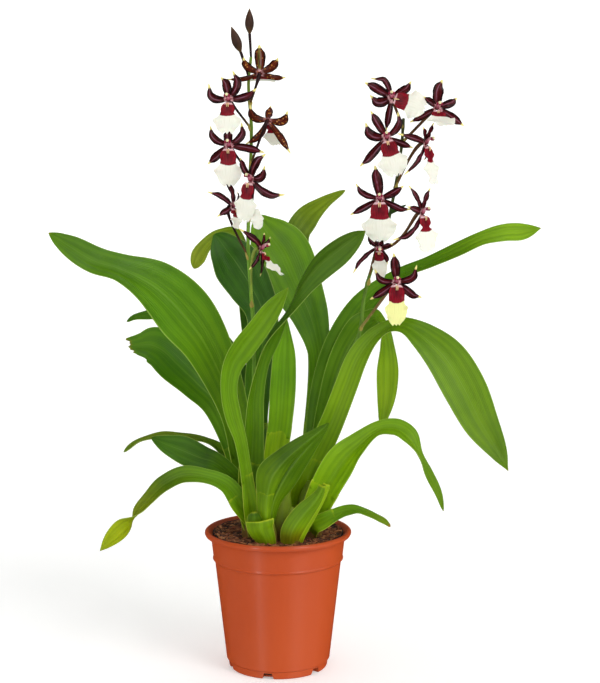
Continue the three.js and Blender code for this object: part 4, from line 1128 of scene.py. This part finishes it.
spikes = {
    "left": {
        "stalkTones": [(112, 84, 40), (44, 16, 18)], "stalkRadius": 0.95,
        "rachisTones": [(124, 172, 48), (112, 158, 44), (116, 144, 44)],
        "rachis": [
            [-19, -9, 126], [-18, -4, 152], [-19, -8, 190], [-19, -12, 235], [-19, -14, 279], [-21, -16, 311],
            [-23, -18, 350], [-21, -20, 400], [-20, -21, 440], [-22, -22, 472], [-20, -22, 493],
        ],
        "blooms": [
            {"at": [-13, -32, 480], "yaw": 170, "nod": -25, "stalkFrom": 457,
             "lip": [180, 14, 18], "striped": 0,
             "tepals": [[-5, 24, -2, 0, 0, 1.3], [37, 18, -3, 4.3, 0, 1], [-47, 21, -3, -3.2, -1, 1],
                        [97, 26, -3, 3, 0, 0.6], [-96, 21, -3, -2.5, 0, 0.7]]},
            {"at": [-37, -34, 460], "yaw": -10, "nod": 5, "stalkFrom": 438,
             "lip": [180, 25, 6], "heart": 0.76,
             "tepals": [[-14, 18, -3, 1.5, -2, 1.1], [16, 22, -2, 4, -3, 1], [-64, 20, -3, -4, 4, 1],
                        [74, 23, -3, 2, -2, 1], [-160, 26, -4, 0, 0, 0.9]]},
            {"at": [-7, -33, 444], "yaw": 165, "nod": -12, "stalkFrom": 410,
             "lip": [185, 22, 12], "heart": 0.4, "fan": 0.6,
             "tepals": [[-5, 10, 8, 0, 0, 0.9], [47, 18, -3, 5.6, -1, 1], [-68, 19, -3, -5, 1, 1],
                        [134, 26, -2, 3, 0, 0.8], [-145, 31, -3, 0, 0, 0.85]]},
            {"at": [-37, -33, 425], "yaw": -8, "nod": 5, "stalkFrom": 402,
             "lip": [180, 31, 0], "heart": 0.9,
             "tepals": [[-3, 12, -3, 0, 0, 1.1], [-50, 21, -2, -3, 2, 0.9], [38, 20, -2, 3.5, -3, 0.9],
                        [-130, 23, -3, 0, 0, 0.95], [102, 28, -3, -1, 0, 0.95]]},
            {"at": [-20, -44, 399], "yaw": -25, "nod": 5, "stalkFrom": 367,
             "lip": [188, 32, 2], "heart": 0.74, "fan": 0.7, "lobe": [167, 38, 3],
             "tepals": [[28, 23, -3, -1, 2, 1], [-30, 19, -3, 0, 0, 0.8], [55, 15, -3, 4, -2, 1],
                        [-165, 16, -5, 0, 0, 0.7], [119, 30, -3, 2.8, -3, 0.95]]},
            {"at": [-35, -25, 378], "yaw": 60, "nod": 5, "stalkFrom": 337,
             "lip": [190, 17, 4], "heart": 0.8, "fan": 0.5,
             "tepals": [[-4, 22, -10, 0, 0, 1], [-62, 27, -8, 0, -2, 0.7], [60, 20, -7, 0, 0, 0.8],
                        [-110, 18, -3, 0, -2, 0.9], [140, 20, -5, 0, 0, 0.8]]},
            {"at": [-13, -30, 345], "yaw": 70, "nod": 8, "stalkFrom": 299,
             "lip": [180, 17, 18], "heart": 0.7, "fan": 0.7,
             "stalkTones": [(150, 180, 60), (140, 160, 62)],
             "tepals": [[-5, 13, 2, 0, 0, 0.8], [-54, 24, -13, 0, 1, 0.9], [58, 14, 3, 0, -2, 0.8],
                        [-140, 21, -2, 0, 0, 0.8], [156, 25, -1, 0, 0, 0.8]]},
        ],
    },
    "right": {
        "stalkTones": [(118, 90, 42), (100, 64, 30)], "stalkRadius": 1.15,
        "greenBract": [
            [89, -14, 372, 1.4, 0], [93, -18, 375, 2.2, 20], [97, -22, 377, 1.6, 30],
            [101, -25, 379, 0.4, 30],
        ],
        "rachisTones": [(132, 178, 54), (104, 142, 42), (70, 82, 36)],
        "rachis": [
            [27, -9, 128], [32, -3, 150], [38, -1, 188], [45, -2, 221], [55, -2, 252], [66, -3, 276],
            [69, -5, 302], [74, -8, 324], [85, -12, 355], [91, -14, 381], [97, -16, 418], [99, -18, 446],
        ],
        "blooms": [
            {"at": [89, -30, 462], "yaw": -5, "nod": 5, "stalkFrom": 440,
             "lip": [108, 27, 4], "heart": 0.92,
             "tepals": [[-31, 21, -4, 2, -7, 0.7], [-60, 24, -3, 0, -1, 1.1], [60, 19, -4, 0, -3, 1],
                        [-95, 17, -2, -3, 3, 1.2], [-170, 27, -3, 0, 0, 0.8]]},
            {"at": [124, -28, 454], "yaw": 15, "nod": 5, "stalkFrom": 427,
             "lip": [180, 12, 20], "heart": 0.8,
             "tepals": [[10, 22, -3, -2, 1, 1.35], [-50, 13, -4, 0, 0, 0.8], [72, 19, -3, 0, -2, 1],
                        [-119, 24, -3, 0, 0, 0.8], [120, 28, -3, 0, 0, 1]]},
            {"at": [85, -35, 431], "yaw": -5, "nod": 5, "stalkFrom": 410,
             "lip": [165, 30, 0], "fan": 0.9, "heart": 0.92,
             "tepals": [[-32, 24, -3, 0, 0, 1], [-61, 20, -3, -4, 2, 1.15], [31, 21, -3, 3, -3, 0.85],
                        [-139, 31, -3, 0, 1, 0.95], [112, 22, -3, 0, 0, 0.8]]},
            {"at": [115, -30, 427], "yaw": 60, "nod": 5, "stalkFrom": 392,
             "lip": [178, 31, 8], "heart": 0.9,
             "tepals": [[0, 16, 6, 0, 0, 1], [-40, 16, 2, 0, 0, 0.8], [-78, 28, -11, 0, 0, 0.8],
                        [-145, 31, -7, 0, 0, 0.85], [140, 18, -5, 0, 0, 0.8]]},
            {"at": [80, -32, 384], "yaw": -5, "nod": 8, "stalkFrom": 363,
             "lip": [180, 33, 2], "fan": 1.04,
             "tepals": [[-11, 26, -3, 1, 1, 1.25], [-64, 22, -3, -2, 2, 0.75], [62, 21, -3, 1, 0, 0.9],
                        [-120, 27, -3, 0, 0, 0.8], [117, 26, -3, 0, -3, 0.8]]},
            {"at": [113, -28, 373], "yaw": 50, "nod": 5, "stalkFrom": 343,
             "lip": [176, 30, 5], "heart": 0.9, "fan": 1.05,
             "stalkBow": [7, -6, -11],
             "tepals": [[10, 20, 4, -2, 0, 0.9], [-35, 26, -4, 0, 0, 0.7], [-72, 15, -4, 0, 0, 0.8],
                        [-140, 32, -9, -2, 4, 0.8], [150, 20, -4, 0, 0, 0.8]]},
            {"at": [80, -19, 346], "yaw": 5, "nod": 46, "stalkFrom": 316,
             "lip": [174, 16, 18], "heart": 0.5, "fan": 0.46,
             "tepals": [[0, 10, 1, 0, 0, 1], [-40, 15, -4, 0, 0, 0.9], [60, 12, 2, 0, 0, 0.9],
                        [-120, 25, 15, 0, -3, 0.7], [146, 18, 5, 0, 2, 0.7]]},
            {"at": [93, -38, 320], "yaw": 5, "nod": 8, "stalkFrom": 279,
             "lip": [180, 34, 2], "yellowLip": True,
             "heart": 0.9, "fan": 0.68, "stalkTones": [(156, 146, 74), (132, 104, 58)],
             "tepals": [[-6, 22, -3, 0, 0, 1.15], [-70, 19, -3, -3, 3, 0.8], [64, 20, -3, 3, -4, 0.95],
                        [-127, 25, -3, 0, 0, 0.95], [130, 25, -3, 0, -3, 0.95]]},
        ],
    },
}
spikeShape = {
    "rachisRadius": 1.9, "taper": 0.6, "sides": 14, "stations": 90, "node": 0.35, "nodeLength": 2.2,
    "ovary": 1.5, "stalkBehind": 7.0, "stalkSag": 3.0,
    "bractLength": 6.0, "bractTone": (172, 156, 74), "greenBractTone": (58, 92, 36),
    "bractWidths": [(0, 1.6), (0.35, 1.9), (0.7, 1.2), (1, 0.3)],
    "bract": {"along": 8, "across": 6, "thick": 0.4, "edge": 0.3, "soft": 0.1, "folds": (40, 20)},
    "greenBract": {"along": 12, "across": 8, "thick": 0.5, "edge": 0.3, "soft": 0.1, "folds": (40, 25)},
}
bloomShape = {
    "seed": 5, "hub": 1.9, "hubTone": (90, 26, 26), "tepalStart": 1.2, "tepalBow": 1.2,
    "widths": [1.5, 2.5, 3.2, 3.5, 3.5, 3.0, 1.25, 0.4], "stripeTone": (124, 112, 46),
    "tepal": {"along": 30, "across": 12, "thick": 0.9, "edge": 0.45, "soft": 0.15, "folds": (32, 18),
              "sharp": 0.07, "waves": ((2.6, 0.5), (5.0, 0.2))},
}
lipShape = {
    "start": 2.4, "seat": 2.9, "bow": 1.8, "fan": 0.84, "heart": 1.0,
    "heartWidths": [3.8, 6.4, 7.1, 6.9], "fanWidths": [9.0, 13.0, 12.6, 10.6, 7.8, 4.2],
    "blade": {"along": 44, "across": 26, "thick": 0.9, "edge": 0.5, "soft": 0.2, "folds": (-8, -4),
              "arch": -0.06, "waves": ((2.5, 1.0), (6.0, 0.4))},
    "lobeStart": 23.0, "lobeWidths": [1.8, 3.6, 5.0, 4.6, 2.4], "lobeSharp": 0.2,
    "crestRadii": (0.5, 0.3), "crestTone": (240, 204, 150), "crestApart": 0.6, "white": (255, 255, 255),
}
columnShape = {
    "reach": 6.0, "rise": 4.2, "foot": 1.8, "neck": 1.2, "tip": 1.35, "cap": 1.2, "capTone": (246, 236, 186),
    "tones": [(0, (120, 20, 44)), (0.4, (206, 120, 140)), (1, (240, 208, 204))],
    "wing": (0.9, 0.9, 1.3), "wingTone": (150, 30, 66), "stigma": 0.8, "stigmaTone": (110, 12, 40),
}
budShape = {
    "outline": [(0.0, 0.22), (0.1, 0.55), (0.25, 0.88), (0.42, 1.0), (0.65, 0.8), (0.86, 0.4), (1.0, 0.06)],
    "tones": [(0, (96, 70, 36)), (0.3, (66, 40, 26)), (0.9, (76, 46, 30)), (1, (110, 92, 48))],
    "stations": 24, "sides": 30, "seam": 0.07,
}
buds = [
    {"name": "bud_upper", "spike": "left", "from": [-20, -22, 493], "base": [-21, -22, 511],
     "tip": [-21, -22, 530], "radius": 3.7},
    {"name": "bud_lower", "spike": "left", "from": [-22, -22, 478], "base": [-28, -24, 497],
     "tip": [-35, -24, 516], "radius": 3.9},
]


def bloomAxes(bloom):
    yaw = math.radians(bloom["yaw"])
    nod = math.radians(bloom["nod"])
    level = math.cos(nod)
    face = np.array([math.sin(yaw) * level, -math.cos(yaw) * level, -math.sin(nod)])
    up = unit(np.array([0, 0, 1.0]) - face * face[2])
    return {"at": np.array(bloom["at"], float), "face": face, "up": up, "right": np.cross(up, face)}


def petalRows(axes, petal, widths, start, bow, seat):
    angle, reach, lift, bend, hook, breadth = petal
    turn = math.radians(angle)
    along = axes["up"] * math.cos(turn) + axes["right"] * math.sin(turn)
    sideways = axes["right"] * math.cos(turn) - axes["up"] * math.sin(turn)
    rows = []
    for i, width in enumerate(widths):
        s = i / (len(widths) - 1)
        rise = seat + lift * s * s + bow * math.sin(math.pi * s)
        aside = bend * math.sin(math.pi * s) + hook * smoothStep(0.66, 1.0, s)
        spot = axes["at"] + along * (start + (reach - start) * s) + axes["face"] * rise + sideways * aside
        rows.append([*spot, width * breadth, 0])
    return rows


def spherePart(centre, radii, tone, skin=0, rings=8, sides=14):
    angle = ringAngles(sides)
    tilt = np.linspace(0.12, math.pi - 0.12, rings)[:, None]
    shell = np.stack([np.sin(tilt) * np.cos(angle), np.sin(tilt) * np.sin(angle),
                      np.repeat(np.cos(tilt), sides, axis=1)], axis=-1).reshape(-1, 3)
    verts = np.vstack([shell, [[0, 0, 1], [0, 0, -1]]]) * radii + centre
    return part(verts, cappedFaces(rings, sides, True), rgb(*tone), skin=skin)


def columnParts(axes, skin):
    look = columnShape
    foot = axes["at"] + axes["face"] * 1.0
    tip = axes["at"] + axes["face"] * look["reach"] + axes["up"] * look["rise"]
    bend = (foot + tip) / 2 + axes["up"] * 1.0 - axes["face"] * 0.6
    points = curveAt([foot, bend, tip], np.linspace(0, 1, 9))
    radii = np.interp(np.linspace(0, 1, 9), [0, 0.5, 0.85, 1], [look["foot"], look["neck"], look["tip"], 1.0])
    parts = [tubePart(points, radii, 12, look["tones"], skin)]
    cap = tip + axes["face"] * 0.6 + axes["up"] * 0.2
    parts.append(spherePart(cap, look["cap"], look["capTone"], skin))
    for direction in (-1, 1):  # dark wings beside the cap
        wing = tip - axes["up"] * 0.8 + axes["right"] * direction * 1.7
        parts.append(spherePart(wing, np.array(look["wing"]), look["wingTone"], skin, 6, 10))
    stigma = tip - axes["up"] * 1.3 + axes["face"] * 0.2
    parts.append(spherePart(stigma, look["stigma"], look["stigmaTone"], skin, 6, 10))
    return parts


def stripeBack(blade):  # a wide green stripe down the back of a sepal
    middle = (blade["back"] > 0.5) & (np.abs(blade["across"]) < 0.3) & (blade["along"] < 0.85)
    blade["back"][middle] = 0
    blade["tone"][middle] = rgb(*bloomShape["stripeTone"])


def buildBloom(name, bloom, rng):
    shape = bloomShape
    axes = bloomAxes(bloom)
    parts = []
    for number, tepal in enumerate(bloom["tepals"]):
        look = dict(shape["tepal"], phase=rng.uniform(0, 6))
        rows = petalRows(axes, tepal, shape["widths"], shape["tepalStart"], shape["tepalBow"], 0)
        blade = bladePart(rows, look, -axes["face"], tepalFinish["front"])
        if bloom.get("striped") == number:
            stripeBack(blade)
        parts.append(blade)
    parts.append(spherePart(axes["at"], shape["hub"], shape["hubTone"], 1))
    parts += columnParts(axes, 1)
    makePiece(name + "_petals", parts, [tepalSkin, columnSkin], [name])


def fanEdge(s, u):
    frill = 0.045 * np.sin(21 * s + 4 * u) + 0.02 * np.sin(47 * s + 1.5)
    return frill * smoothStep(0.42, 0.6, s) * np.abs(u) ** 3


def buildLip(name, bloom, rng):
    shape = lipShape
    axes = bloomAxes(bloom)
    drop = rng.uniform(0, 6)
    heart = bloom.get("heart", shape["heart"])
    fan = bloom.get("fan", shape["fan"])

    def fanEnd(s, u, tangent):
        lobes = 1.1 * np.cos(2 * math.pi * u) - 0.4 + 0.28 * np.sin(6 * u + drop)
        return tangent * (smoothStep(0.75, 1.0, s) * lobes * fan)[..., None]

    def lipBlade(petal, widths, start, look):
        rows = petalRows(axes, [*petal, 0, 0, 1], widths, start, shape["bow"], shape["seat"])
        return bladePart(rows, look, -axes["face"], shape["white"])

    look = dict(shape["blade"], phase=drop, ragged=fanEdge, shift=fanEnd)
    widths = [width * heart for width in shape["heartWidths"]] + [width * fan for width in shape["fanWidths"]]
    parts = [lipBlade(bloom["lip"], widths, shape["start"], look)]
    if "lobe" in bloom:
        look["sharp"] = shape["lobeSharp"]
        lobe = lipBlade(bloom["lobe"], shape["lobeWidths"], shape["lobeStart"], look)
        lobe["along"] = 0.6 + 0.4 * lobe["along"]  # it has the fan's colour all over
        parts.append(lobe)
    angle, reach, _ = bloom["lip"]
    turn = math.radians(angle)
    along = axes["up"] * math.cos(turn) + axes["right"] * math.sin(turn)
    for sideways in (-shape["crestApart"], shape["crestApart"]):  # the two ridges of the crest
        start = axes["at"] + axes["face"] * (shape["seat"] + 1.0) + axes["right"] * sideways + along * 2.6
        end = start + along * reach * 0.1 + axes["face"] * 0.5
        points = curveAt([start, (start + end) / 2 + axes["face"] * 0.7, end], np.linspace(0, 1, 8))
        parts.append(tubePart(points, np.linspace(*shape["crestRadii"], 8), 8, shape["crestTone"], 1))
    skin, slot = (yellowLipSkin, "lip_yellow") if bloom.get("yellowLip") else (whiteLipSkin, "lip_white")
    makePiece(name + "_fan", parts, [skin, columnSkin], [name])


def rachisPoint(spike, z):
    rows = spike["rachis"]
    i = max(0, next(k for k, row in enumerate(rows) if row[2] > z) - 1)
    share = (z - rows[i][2]) / (rows[i + 1][2] - rows[i][2])
    return np.array(rows[i], float) * (1 - share) + np.array(rows[i + 1], float) * share


def stalkParts(spike, bloom):
    axes = bloomAxes(bloom)
    end = axes["at"] - axes["face"] * (bloomShape["hub"] + 0.2)
    start = rachisPoint(spike, bloom["stalkFrom"])
    bend = end - axes["face"] * spikeShape["stalkBehind"]
    bend[2] -= spikeShape["stalkSag"]
    first = (start + bend) / 2 + np.array(bloom.get("stalkBow", [0, 0, 0]))
    t = np.linspace(0, 1, 26)[:, None]
    points = start * (1 - t) ** 3 + 3 * first * t * (1 - t) ** 2 + 3 * bend * t ** 2 * (1 - t) + end * t ** 3
    thick = spike["stalkRadius"]
    full = max(spikeShape["ovary"], thick)
    radii = np.interp(t[:, 0], [0, 0.08, 0.55, 0.8, 1], [thick * 1.3, thick, thick, full, full])
    near, far = bloom.get("stalkTones", spike["stalkTones"])
    stalk = tubePart(points, radii, 12, [(0, near), (0.35, far), (1, far)])
    return [stalk, bractPart(start, unit(points[3] - points[0]))]


def bractPart(start, ahead):
    outward = unit(ahead * [1, 1, 0.0] + [1e-4, -0.3, 0])
    length = spikeShape["bractLength"]
    rows = []
    for s, width in spikeShape["bractWidths"]:
        spot = start + outward * (1.5 + 1.8 * s) + np.array([0, 0, -1.5 + length * s])
        rows.append([*spot, width, 0])
    return bladePart(rows, spikeShape["bract"], outward, spikeShape["bractTone"])


def budStalk(spike, bud):
    start, base, tip = (np.array(bud[name], float) for name in ("from", "base", "tip"))
    end = base - unit(tip - base) * 0.2
    bend = (start + end) / 2
    bend[2] = start[2] + (end[2] - start[2]) * 0.55
    s = np.linspace(0, 1, 16)[:, None]
    path = start * (1 - s) ** 2 + 2 * bend * s * (1 - s) + end * s ** 2
    return tubePart(path, np.linspace(0.9, 1.2, 16), 12, spike["stalkTones"][1])


# The rachis, a little thicker where a stalk leaves it, with the stalks and their bracts
def buildSpike(key, spike):
    shape = spikeShape
    rows = np.array(spike["rachis"], float)
    t = np.linspace(0, 1, shape["stations"])
    points = curveAt(rows, t)
    radii = shape["rachisRadius"] * (1 - (1 - shape["taper"]) * t)
    for bloom in spike["blooms"]:
        gap = (points[:, 2] - bloom["stalkFrom"]) / shape["nodeLength"]
        radii = radii + shape["node"] * np.exp(-gap ** 2)
    low, middle, high = spike["rachisTones"]
    parts = [tubePart(points, radii, shape["sides"], [(0, low), (0.55, middle), (0.85, high), (1, high)])]
    for bloom in spike["blooms"]:
        parts += stalkParts(spike, bloom)
    if "greenBract" in spike:
        tone = shape["greenBractTone"]
        parts.append(bladePart(spike["greenBract"], shape["greenBract"], awayFromViewer, tone))
    parts += [budStalk(spike, bud) for bud in buds if bud["spike"] == key]
    makePiece("spike_" + key + "_stems", parts, [stalkSkin], ["spike_" + key])


def buildBud(bud):
    shape = budShape
    base = np.array(bud["base"], float)
    tip = np.array(bud["tip"], float)
    s = np.linspace(0, 1, shape["stations"])
    outline = np.array(shape["outline"])
    radii = np.interp(s, outline[:, 0], outline[:, 1]) * bud["radius"]
    radii = np.convolve(np.pad(radii, 1, "edge"), np.ones(3) / 3, "valid")
    points = base + (tip - base) * s[:, None]
    tube = tubePart(points, radii, shape["sides"], shape["tones"])
    axis = unit(tip - base)
    offset = tube["verts"] - base
    flat = offset - np.outer(offset @ axis, axis)
    angle = np.arctan2(flat[:, 1], flat[:, 0])
    seams = shape["seam"] * np.abs(np.cos(1.5 * angle)) ** 8  # between the three outer sepals
    tube["verts"] -= flat * seams[:, None]
    makePiece(bud["name"] + "_sepals", [tube], [budSkin], [bud["name"]])


def buildFlowers():
    rng = random.Random(bloomShape["seed"])
    for key, spike in spikes.items():
        buildSpike(key, spike)
        for number, bloom in enumerate(spike["blooms"], 1):
            buildBloom(f"bloom_{key}_{number}", bloom, rng)
            buildLip(f"lip_{key}_{number}", bloom, rng)
    for bud in buds:
        buildBud(bud)


buildFlowers()
print("flowers done")


# Stage, light and camera

studio = {
    "floor": (242, 242, 241), "glow": 0.29, "radius": 5.0, "wall": 5.0, "bend": 2.0, "bendSteps": 16,
    "sectors": 72, "shares": (0.0, 0.1, 0.25, 0.4, 0.55, 0.7, 0.85, 0.97, 1.0), "world": 0.35,
}
lamps = [  # places and targets in metres; a sun has an angle and an area lamp has a size
    {"name": "keyLight", "power": 0.95, "angle": 26, "place": (1.2, -1.3, 1.7), "target": (0.0, 0.0, 0.25)},
    {"name": "fillLight", "power": 0.52, "angle": 50, "place": (1.8, -0.75, 0.5), "target": (0.0, 0.0, 0.25)},
    {"name": "stripLight", "power": 4.5, "size": (0.09, 1.2), "place": (-0.75, -1.1, 0.62),
     "target": (0.0, 0.0, 0.1), "glossOnly": True},
    {"name": "topLight", "power": 2.6, "size": (1.4, 1.4), "place": (0.1, -0.5, 1.9),
     "target": (0.0, 0.0, 0.25), "glossOnly": True},
]


def sweepProfile():
    flat = studio["radius"] - studio["bend"]
    profile = [(flat * share, 0.0) for share in studio["shares"]]
    for step in range(1, studio["bendSteps"] + 1):
        turn = math.pi / 2 * step / studio["bendSteps"]
        profile.append((flat + studio["bend"] * math.sin(turn), studio["bend"] * (1 - math.cos(turn))))
    profile.append((studio["radius"], studio["wall"]))
    return profile


# A round paper floor that rises to a wall far from the plant on every side
def buildStage():
    profile = sweepProfile()
    sectors = studio["sectors"]
    verts = [(0.0, 0.0, 0.0)]
    for radius, height in profile[1:]:
        for j in range(sectors):
            turn = 2 * math.pi * j / sectors
            verts.append((radius * math.cos(turn), radius * math.sin(turn), height))
    faces = [(0, 1 + j, 1 + (j + 1) % sectors) for j in range(sectors)]
    for face in gridFaces(len(profile) - 1, sectors):
        faces.append(tuple(1 + corner for corner in face[::-1]))
    mesh = bpy.data.meshes.new("sweep")
    mesh.from_pydata(verts, [], faces)
    mesh.polygons.foreach_set("use_smooth", [True] * len(faces))
    sweep = bpy.data.objects.new("sweep", mesh)
    bpy.context.scene.collection.objects.link(sweep)
    material, _, shader = newMaterial("paperSweep", 0.9)
    shader.inputs["Base Color"].default_value = rgba(studio["floor"])
    shader.inputs["Emission Color"].default_value = (1.0, 1.0, 1.0, 1.0)
    shader.inputs["Emission Strength"].default_value = studio["glow"]
    mesh.materials.append(material)
    sweep.visible_glossy = False  # the gloss on leaves and pot comes from the lamps
    sweep.visible_shadow = False  # and the lamps shine in past its wall


def addLamp(look):
    data = bpy.data.lights.new(look["name"], "SUN" if "angle" in look else "AREA")
    data.energy = look["power"]
    if "angle" in look:
        data.angle = math.radians(look["angle"])
    else:
        data.shape = "RECTANGLE"
        data.size, data.size_y = look["size"]
    lamp = bpy.data.objects.new(look["name"], data)
    lamp.location = look["place"]
    aim = Vector(look["target"]) - Vector(look["place"])
    lamp.rotation_euler = aim.to_track_quat("-Z", "Y").to_euler()
    lamp.visible_diffuse = not look.get("glossOnly", False)
    bpy.context.scene.collection.objects.link(lamp)


def buildStudio():
    for look in lamps:
        addLamp(look)
    world = bpy.data.worlds.new("studioWorld")
    bpy.context.scene.world = world
    world.use_nodes = True
    back = world.node_tree.nodes["Background"]
    back.inputs[0].default_value = (1.0, 1.0, 1.0, 1.0)
    back.inputs[1].default_value = studio["world"]
    world.cycles_visibility.glossy = False
    bpy.context.scene.view_settings.view_transform = "Standard"


photoCamera = {"place": (0.018, -1.2, 0.410), "pitch": 6.73, "focalPixels": 1496.0, "longSide": 683.0,
               "sensor": 36.0}


def buildCamera():
    lens = bpy.data.cameras.new("photoCamera")
    lens.sensor_fit = "AUTO"
    lens.sensor_width = photoCamera["sensor"]
    lens.lens = photoCamera["focalPixels"] / photoCamera["longSide"] * photoCamera["sensor"]
    camera = bpy.data.objects.new("photoCamera", lens)
    camera.location = photoCamera["place"]
    camera.rotation_euler = (math.radians(90 - photoCamera["pitch"]), 0, 0)
    bpy.context.scene.collection.objects.link(camera)
    bpy.context.scene.camera = camera


buildStage()
buildStudio()
buildCamera()
print("stage, lights and camera ready")
